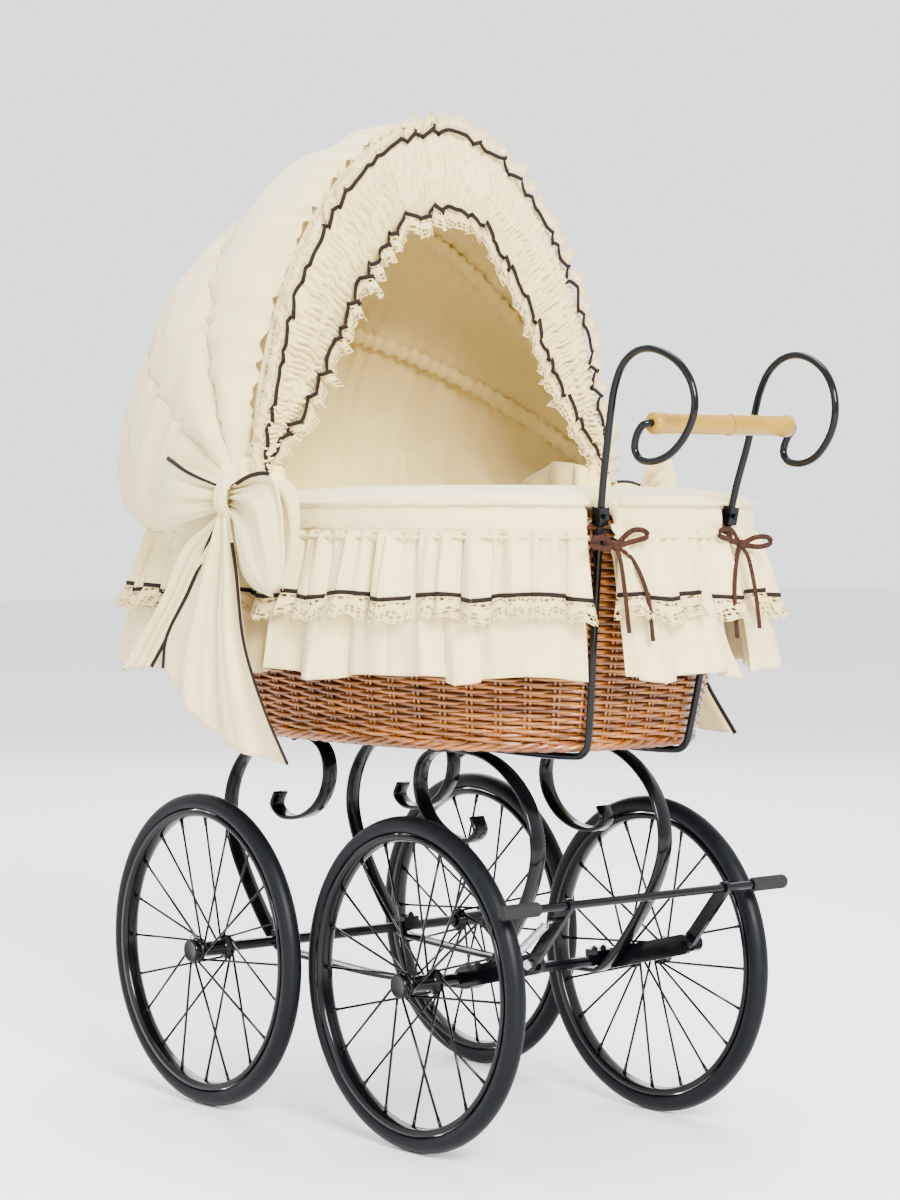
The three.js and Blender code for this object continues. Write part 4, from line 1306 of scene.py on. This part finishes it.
def make_back_gore():
    """The ballooned back: gathered on elastic over the skirt's seam, with a small frill below it."""
    share = np.linspace(0, 1, 421)[:, None]
    across = np.radians(180 * share - 90)
    low_rows = smooth_path(np.array(BACK_PROFILE) / 1000, 5)
    z, reach, wide = (low_rows[:, i][None, :] for i in range(3))
    lows = len(low_rows)
    lift = np.linspace(0, 30, 26)[None, 1:]
    rows = lows + lift.shape[1]
    climb = np.linspace(0, 1, rows)[None, :]
    to_elastic = abs(climb - ELASTIC_SHARE) * 0.26
    to_rib = (1 - climb) * 0.26
    base = np.concatenate(
        [
            np.stack(
                np.broadcast_arrays(
                    PIVOT.x - reach * swell(np.cos(across), 2.2),
                    wide * swell(np.sin(across), 2.2),
                    z,
                ),
                -1,
            ),
            hood_points(lift, 180 * share - 90),
        ],
        axis=1,
    )
    wrinkles = gathered_at(share, to_elastic, 21, 58, 0.0032, 0.022)
    wrinkles = wrinkles + gathered_at(share, to_elastic, 22, 24, 0.0042, 0.06)
    wrinkles = wrinkles + rib_gathers(share, to_rib, 30)
    held = 0.35 + 0.65 * np.sin(math.pi * np.clip((climb - ELASTIC_SHARE) / (1 - ELASTIC_SHARE), 0, 1))
    puff = wrinkles + 0.0085 * held * creases(base, 0.10, CREASE_SEED) + 0.012 * (held - 0.35)
    tilt = np.clip((base[..., 2] - PIVOT.z) / 0.19, 0, 1)[..., None]
    level = unit((base - [PIVOT.x, 0, 0]) * (1, 1, 0.0) + [0, 0, 1e-6])
    swung = hood_points(lift, 180 * share - 90, 0.001) - hood_points(lift, 180 * share - 90)
    outwards = np.concatenate([level[:, :lows], unit(swung)], axis=1)
    fade = np.clip(np.cos(across) * 6, 0, 1)
    points = base + unit(level * (1 - tilt) + outwards * tilt) * (puff * fade)[..., None]
    cloth = cloth_piece("hood_back_cloth", points, "cream", None, (1.2, 0.27))
    finish_gore(cloth, "hood_cloth_back")


def make_casing(rib, lift, body):
    """The gathered tube of lining that holds one wire hoop."""
    across = np.linspace(-86, 86, 360)
    path = hood_points(np.full(360, float(lift)), across, -0.0065)
    gathers = 1 + 0.22 * np.sin(wander(np.linspace(0, 1, 360), 64, lift))
    along_cloth = (math.sin(math.radians(lift)), 0, math.cos(math.radians(lift)))
    section = round_section(0.0052, 10) * (1.7, 1.0)
    casing = sweep_piece(
        f"hood_casing_{rib}", path, section, "lining", body, across=along_cloth, scale=gathers
    )
    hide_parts(f"hood_hoop_{rib}")


# Half of each edge of the band: half width, and height above the pivots
BAND_OUTER = (
    (230, 8), (228, 40), (215, 91), (192, 181), (155, 251), (131, 286), (100, 316), (67, 341), (0, 360),
)
BAND_INNER = ((218, 8), (195, 40), (154, 91), (108, 181), (82, 216), (49, 256), (0, 268))
BAND_FRONT = 0.004


def band_edge(half, steps):
    """Equal steps along one edge of the band, from its left foot over to its right foot."""
    left = [(0, -wide, rise) for wide, rise in half]
    right = [(0, wide, rise) for wide, rise in half[-2::-1]]
    place = PIVOT + Vector((BAND_FRONT, 0, 0))
    return resampled(smooth_path(np.array(left + right) * 0.001, 24), steps) + place


def make_band(sizes):
    """The ruched face: cloth gathered on both edges into close, wandering pleats."""
    steps = np.linspace(0, 1, 1001)
    outer, inner = band_edge(BAND_OUTER, 1001), band_edge(BAND_INNER, 1001)
    level = steps - 0.030 * np.sin(2 * math.pi * steps)
    outer = np.stack([np.interp(level, steps, outer[:, i]) for i in range(3)], 1)
    share = steps[:, None]
    depth = np.linspace(0, 1, 31)[None, :]
    flat = outer[:, None] + (inner - outer)[:, None] * depth[..., None]
    drift = 0.9 * np.sin(2 * math.pi * (depth * 1.5 + 5 * share))
    drift = drift + 0.8 * np.sin(2 * math.pi * (depth * 2.3 - 11 * share))
    pleat = np.sin(wander(share, sizes.pleats, 31, 1.9) + drift)
    second = np.sin(wander(share, sizes.pleats * 0.53, 32, 1.6) - 1.3 * drift)
    hold = 0.35 + 0.65 * np.sin(math.pi * depth)
    pucker = creases(flat, 0.017, 8)
    relief = hold * (0.0030 * pleat + 0.0024 * second + 0.0042 * pucker)
    forward = 0.003 + 0.012 * np.sin(math.pi * depth) ** 0.6 + relief
    weaving = 0.0016 * hold * np.sin(2 * math.pi * depth * 2.5 + drift)
    sideways = unit(np.gradient(outer, axis=0))[:, None] * weaving[..., None]
    points = flat + np.stack([forward, 0 * forward, 0 * forward], -1) + sideways
    band = cloth_piece("hood_ruched_band", points, "cream", "hood_front_body", (1.9, 0.09))
    thicken(band, 0.0012, 0.0)
    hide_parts("hood_band")


def make_edging(name, edge, away, waves, swing, width, forward, seed, tape_width):
    """Wavy brown tape along one edge of the band, with a ruffle of lace standing out from it."""
    steps = len(edge)
    share = np.linspace(0, 1, steps)
    phase = wander(share, waves, seed, 1.3)
    strength = swing * (0.65 + 0.35 * np.sin(wander(share, 7, seed + 1)))
    strength = strength * np.clip(np.minimum(share, 1 - share) * 12, 0.15, 1)
    along = unit(np.gradient(edge, axis=0))
    facing = np.array([1.0, 0, 0])
    root = edge + away * (0.85 * strength * np.sin(phase))[:, None]
    root = root + along * (0.45 * strength * np.sin(2 * phase))[:, None]
    root = root + facing * (forward + 0.5 * strength * np.sin(phase + 0.9))[:, None]
    section = flat_section(tape_width, 0.0012)
    sweep_piece(f"hood_tape_{name}", root + facing * 0.0012, section, "tape", "hood_front_body", across=away)
    reach = np.linspace(0, 1, 8)[None, :, None]
    run = share * 1.35 * np.linalg.norm(np.diff(edge, axis=0), axis=1).sum()
    scallop = abs(np.sin(math.pi * run / LACE_MOTIF))
    tall = (width * (0.88 + 0.12 * scallop))[:, None, None] * reach
    flutter = wander(share, waves * 1.3, seed + 2, 1.3)
    lift = (0.0045 * np.sin(flutter) + 0.35 * strength * np.sin(phase + 0.4))[:, None, None] * reach
    sway = (0.0012 * np.sin(2 * flutter))[:, None, None] * reach
    points = root[:, None] + away[:, None] * tall + facing * lift + along[:, None] * sway
    lace = cloth_piece(f"hood_lace_{name}", points, "lace", "hood_front_body", (run[-1], width))


def make_band_edging(sizes):
    outer, inner = band_edge(BAND_OUTER, 1500), band_edge(BAND_INNER, 1500)
    away = unit(outer - inner)
    make_edging("outer", outer - away * 0.007, away, 31, 0.0066, 0.019, 0.0150, 41, sizes.tape)
    make_edging("inner", inner + away * 0.006, -away, 25, 0.0080, 0.020, 0.0160, 51, sizes.tape)


# In plan, the hem of the hood's cloth where it is turned round the metal bracket on each side
CORNER_PLAN = (
    (-170, 238), (-110, 222), (-50, 204), (-6, 196), (11, 197),
    (17, 206), (16, 222), (8, 233), (-8, 241), (-40, 246),
)


def make_corner(side, out):
    """The hood cloth's corner, turned round its bracket and gathered under the bow."""
    plan = smooth_path([(x * 0.001 + PIVOT.x, y * 0.001 * out, 0) for x, y in CORNER_PLAN], 12)
    share = np.linspace(0, 1, len(plan))[:, None]
    rise = np.linspace(0, 1, 12)[None, :]
    top = 0.036 + 0.026 * np.clip((share - 0.06) * 5.5, 0, 1)
    height = 0.597 + top * rise + 0.003 * np.sin(9 * share) * rise
    folds = 0.0016 * np.sin(46 * share + 2 * rise) + 0.004 * np.sin(math.pi * rise)
    away = unit(np.cross(np.gradient(plan, axis=0), [0, 0, out]))
    points = plan[:, None] + away[:, None] * folds[..., None]
    points = points + np.stack([0 * height, 0 * height, height], -1)
    corner = cloth_piece(f"hood_corner_{side}", points, "lining", "chassis", (0.14, 0.06))
    thicken(corner, 0.0012, 0.0)


def make_front_hoop():
    """The cloth casing over the front hoop's wire."""
    across = np.linspace(-89, 89, 200)
    path = hood_points(np.full(200, 90.0), across, -0.0065) - np.array([0.001, 0, 0])
    hoop = sweep_piece("hood_front_casing", path, round_section(0.0036, 12), "cream", "hood_front_body")
    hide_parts("hood_hoop_front")


class DOLLPRAM_OT_hood(bpy.types.Operator):
    """Make the hood's cloth and casings, and its ruched band with tape and lace"""

    bl_idname = "doll_pram.hood"
    bl_label = "Hood"

    def execute(self, context):
        sizes = context.scene.doll_pram_sizes
        make_back_gore()
        make_gore("hood_middle_cloth", "hood_cloth_middle", (30, 60))
        make_gore("hood_front_cloth", "hood_cloth_front", (60, 90))
        make_casing("rear", 30, "hood_rear_body")
        make_casing("middle", 60, "hood_middle_body")
        make_front_hoop()
        make_band(sizes)
        make_band_edging(sizes)
        for side, out in SIDES:
            make_corner(side, out)
        return {"FINISHED"}


# Bows and ties, in millimetres along X and Z from midway between the axles

BOW_Y = 272
KNOT = (24, 621)
# Each loop: its upper and lower edges from the knot, and the share of the upper one that is edged
LOOPS = {
    "left": (
        (
            "raised",
            ((22, 630), (-20, 643), (-60, 655), (-96, 661)),
            ((20, 612), (-24, 602), (-66, 594), (-106, 590)),
            1.0,
        ),
        (
            "hanging",
            ((28, 632), (72, 643), (108, 641), (119, 614), (114, 572), (97, 538)),
            ((28, 604), (34, 588), (42, 570), (50, 552), (62, 537), (80, 528)),
            0.42,
        ),
    ),
    "right": (
        (
            "raised",
            ((20, 634), (30, 650), (44, 661), (60, 667)),
            ((24, 612), (38, 618), (52, 624), (66, 630)),
            1.0,
        ),
        (
            "hanging",
            ((20, 632), (-24, 640), (-62, 634), (-78, 608), (-76, 570), (-60, 536)),
            ((20, 604), (10, 588), (2, 570), (-8, 552), (-22, 537), (-42, 526)),
            0.42,
        ),
    ),
}
# Each tail: its left edge, its right edge, how far its cut end bulges, and how deep its folds are
TAILS = {
    "short": (
        ((18, 612), (-8, 596), (-46, 576), (-81, 524), (-117, 486), (-149, 451)),
        ((24, 604), (4, 580), (-22, 550), (-50, 515), (-76, 482), (-98, 456)),
        0,
        4.0,
    ),
    "long": (
        ((14, 606), (-8, 576), (-36, 532), (-71, 484), (-74, 455)),
        ((28, 606), (45, 556), (62, 486), (96, 427), (137, 376)),
        24,
        6.5,
    ),
}


def bow_place(x, y, z, out):
    return np.array((x * 0.001 + MID_X, out * y * 0.001, z * 0.001))


def pleats(side, depth, seed, turns=3.2):
    """Folds across a ribbon, as offsets in metres."""
    luck = np.random.default_rng(seed)
    first, second = luck.random(2) * 6
    angle = turns * math.pi * side
    return depth * (np.sin(angle + first) + 0.45 * np.sin(2.4 * angle + second))


def make_ribbon_piece(name, points, edging, span):
    """A piece of ribbon from a grid (stations, columns, 3), with dark edging along chosen columns."""
    run = np.linalg.norm(np.diff(points[:, points.shape[1] // 2], axis=0), axis=1).sum()
    cloth = cloth_piece(name, points, "cream", "chassis", (run, span))
    thicken(cloth, 0.0012, 0.0)
    if not edging:
        return
    bm = bmesh.new()
    for column, start, end in edging:
        path = points[start:end, column]
        inward = unit(points[start:end, column - 1 if column else 1] - path)
        add_sweep(bm, path, flat_section(0.0042, 0.0024), across=inward)
    bmesh.ops.recalc_face_normals(bm, faces=bm.faces)
    piece_from(bm, f"{name}_edging", "tape", "chassis")


def edge_path(points, steps, out):
    return resampled(smooth_path([bow_place(x, BOW_Y, z, out) for x, z in points], 12), steps)


def make_loop(side, out, name, upper, lower, edged, seed):
    """A bow's loop: the ribbon goes out from the knot between its two edges and comes back behind."""
    steps = 34
    edges = [edge_path(edge, steps, out) for edge in (lower, upper)]
    across = np.linspace(-1, 1, 27)[None, :]
    front = edges[0][:, None] + (edges[1] - edges[0])[:, None] * ((across + 1) / 2)[..., None]
    centre = front[:, 13:14]
    back = centre + (front - centre) * 0.82
    sheet = np.concatenate([front, back[-2::-1]])
    t = np.linspace(0, 1, len(sheet))[:, None]
    swing = np.sin(2 * math.pi * t) * np.sin(math.pi * t) ** 0.3
    swing = swing * np.where(swing > 0, 0.017, 0.008)
    fold = pleats(across, 0.0052 * (1 - 0.62 * np.sin(math.pi * t) ** 2), seed, 2.4) * np.cos(math.pi * t)
    curl = -0.007 * across**2 * np.sin(math.pi * t)
    points = sheet + (swing + fold + curl)[..., None] * np.array([0, out, 0])
    last = max(6, round(edged * steps))
    make_ribbon_piece(f"bow_{side}_{name}_loop", points, ((-1, 2, last),), 0.06)


def make_tail(side, out, name, left, right, bulge, depth, seed):
    """A bow's tail between its two edges, folded at the knot and cut on the slant."""
    steps = 46
    edges = [edge_path(edge, steps, out) for edge in (left, right)]
    share = np.linspace(0, 1, steps)[:, None]
    across = np.linspace(-1, 1, 33)[None, :]
    points = edges[0][:, None] + (edges[1] - edges[0])[:, None] * ((across + 1) / 2)[..., None]
    belly = bulge * 0.001 * share**3 * np.cos(0.5 * math.pi * across)
    points = points + belly[..., None] * np.array([-0.35, 0, -0.94])
    folds = pleats(across, depth * 0.001 * (0.45 + share) * (1.15 - 0.75 * share), seed, 2.6)
    fall = (0.007 if name == "long" else 0.003) + 0.009 * share
    points = points + (folds + fall)[..., None] * np.array([0, out, 0])
    make_ribbon_piece(f"bow_{side}_{name}_tail", points, ((0, 5, steps), (-1, 5, steps)), 0.12)


def make_knot(side, out):
    """The ribbon's turn round the middle of the bow."""
    turn = np.linspace(0, 2 * math.pi, 49)
    across = np.linspace(-1, 1, 15)
    centre = bow_place(KNOT[0], BOW_Y + 3, KNOT[1], out)
    plump = 1 - 0.16 * across**2 + 0.05 * np.sin(7 * across)
    ring = np.stack([0 * turn, 0.0135 * out * np.cos(turn), 0.0180 * np.sin(turn)], -1)
    points = centre + ring[:, None] * plump[None, :, None]
    points = points + across[None, :, None] * np.array([0.0105, 0, 0])
    points[-1] = points[0]
    knot = cloth_piece(f"bow_{side}_knot", points, "cream", "chassis", (0.09, 0.025), closed=True)
    thicken(knot, 0.0015, 0.0)
    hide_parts(f"bow_{side}")


def make_bow(side, out):
    """A big soft bow: one raised and one hanging loop, two broad tails and a knot."""
    for seed, (name, upper, lower, edged) in enumerate(LOOPS[side]):
        make_loop(side, out, name, upper, lower, edged, seed + 3)
    for seed, (name, (left, right, bulge, depth)) in enumerate(TAILS.items()):
        make_tail(side, out, name, left, right, bulge, depth, seed + 12)
    make_knot(side, out)


def make_tie(side, out):
    """A suede lace round the post: knot, two loops and two hanging ends."""
    post = (CLAMP_POINT - POST_FOOT) / np.linalg.norm(CLAMP_POINT - POST_FOOT)
    centre = CLAMP_POINT - post * 28
    knot = np.array((354, 80, centre[2]))
    lace = flat_section(0.005, 0.0016)

    def path(*points, closed=False):
        return smooth_path(framed(points, out), 8, closed)

    bm = bmesh.new()
    turns = np.linspace(0, 2 * math.pi, 9)[:-1]
    ring = [centre + (7 * math.cos(a), 7 * math.sin(a), 9 * math.cos(a)) for a in turns]
    add_sweep(bm, path(*ring, closed=True), lace, across=(0, 0, 1), closed=True)
    add_sweep(bm, path(centre + (6, 0, 4), knot - (6, 0, -2), knot), lace, across=(0, 0, 1))
    for y, lift in ((34, 2), (-34, 9)):
        out_and_back = [(5, y * 0.5, lift + 5), (6, y * 0.95, lift + 4)]
        out_and_back += [(7, y, lift), (7, y * 0.6, lift - 4)]
        loop = [knot, *(knot + step for step in out_and_back), knot]
        add_sweep(bm, path(*loop), lace, across=(0, 0, 1))
    for y, bottom in ((3, 499), (-24, 491)):
        fall = [knot, knot + (8, y * 0.5, -10), (371, 80 + y, 535), (377, 80 + y * 1.1, bottom)]
        add_sweep(bm, path(*fall), lace, across=(0, 1, 0))
    bmesh.ops.recalc_face_normals(bm, faces=bm.faces)
    add_ball(bm, framed(knot + (2, 0, 0), out), 0.005, (0.9, 1.1, 1.0))
    tie = piece_from(bm, f"suede_tie_{side}", "suede", "chassis")
    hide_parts(f"tie_{side}")


class DOLLPRAM_OT_bows(bpy.types.Operator):
    """Tie the hood's bows and the suede laces at the handle posts"""

    bl_idname = "doll_pram.bows"
    bl_label = "Bows and ties"

    def execute(self, context):
        for side, out in SIDES:
            make_bow(side, out)
            make_tie(side, out)
        return {"FINISHED"}


# Stage

CAMERA_TURN = 50.7
CAMERA_RISE = 1.85
CAMERA_PLACE = (2.3264, -1.8880, 0.6148)
CAMERA_LENS = 88.2


def add_light(name, place, target, size, power, tint=(1, 1, 1)):
    data = bpy.data.lights.new(name, "AREA")
    data.shape = "RECTANGLE"
    data.size, data.size_y = size
    data.energy = power
    data.color = tint
    lamp = bpy.data.objects.new(name, data)
    lamp.location = place
    lamp.rotation_euler = (Vector(target) - Vector(place)).to_track_quat("-Z", "Y").to_euler()
    bpy.context.scene.collection.objects.link(lamp)


class DOLLPRAM_OT_stage(bpy.types.Operator):
    """Set out the pale floor, the soft studio lights and the camera"""

    bl_idname = "doll_pram.stage"
    bl_label = "Stage"

    def execute(self, context):
        bm = bmesh.new()
        bmesh.ops.create_grid(bm, x_segments=1, y_segments=1, size=14.0)
        mesh = bpy.data.meshes.new("studio_floor")
        bm.to_mesh(mesh)
        bm.free()
        mesh.materials.append(studio_floor("studio_floor"))
        floor = bpy.data.objects.new("studio_floor", mesh)
        context.scene.collection.objects.link(floor)
        target = (0, 0, 0.55)
        add_light("key", (3.7, -1.5, 2.5), target, (1.5, 1.5), 640)
        add_light("front", (0.6, -4.2, 1.6), target, (2.2, 2.2), 70)
        add_light("top", (-0.4, 0.3, 3.8), target, (2.2, 2.2), 150)
        add_light("back", (-3.0, 2.2, 2.2), target, (2.2, 2.2), 90)
        world = bpy.data.worlds.new("studio_air")
        world.use_nodes = True
        background = world.node_tree.nodes["Background"]
        background.inputs["Color"].default_value = (0.97, 0.98, 1.0, 1.0)
        background.inputs["Strength"].default_value = 2.0
        context.scene.world = world
        data = bpy.data.cameras.new("camera")
        data.lens = CAMERA_LENS
        data.clip_end = 60
        camera = bpy.data.objects.new("camera", data)
        camera.location = Vector(CAMERA_PLACE) + Vector((MID_X, 0, 0))
        camera.rotation_euler = (math.radians(90 - CAMERA_RISE), 0, math.radians(CAMERA_TURN))
        context.scene.collection.objects.link(camera)
        context.scene.camera = camera
        return {"FINISHED"}


class DOLLPRAM_PT_panel(bpy.types.Panel):
    bl_label = "Doll Pram"
    bl_idname = "DOLLPRAM_PT_panel"
    bl_space_type = "VIEW_3D"
    bl_region_type = "UI"
    bl_category = "Doll Pram"

    def draw(self, context):
        for group in (context.scene.doll_pram_sizes, context.scene.doll_pram_colours):
            box = self.layout.box()
            for name in group.__annotations__:
                box.prop(group, name)
        for operator in OPERATORS:
            self.layout.operator(operator.bl_idname)


OPERATORS = (
    DOLLPRAM_OT_stage,
    DOLLPRAM_OT_wheels,
    DOLLPRAM_OT_chassis,
    DOLLPRAM_OT_brake,
    DOLLPRAM_OT_handle,
    DOLLPRAM_OT_basket,
    DOLLPRAM_OT_bedding,
    DOLLPRAM_OT_skirt,
    DOLLPRAM_OT_hood,
    DOLLPRAM_OT_bows,
)
CLASSES = (DollPramSizes, DollPramColours, *OPERATORS, DOLLPRAM_PT_panel)


def register():
    for cls in CLASSES:
        bpy.utils.register_class(cls)
    bpy.types.Scene.doll_pram_sizes = bpy.props.PointerProperty(type=DollPramSizes)
    bpy.types.Scene.doll_pram_colours = bpy.props.PointerProperty(type=DollPramColours)


def unregister():
    del bpy.types.Scene.doll_pram_colours
    del bpy.types.Scene.doll_pram_sizes
    for cls in reversed(CLASSES):
        bpy.utils.unregister_class(cls)


def main():
    register()
    for operator in OPERATORS:
        group, name = operator.bl_idname.split(".")
        getattr(getattr(bpy.ops, group), name)()


if __name__ == "__main__":
    main()
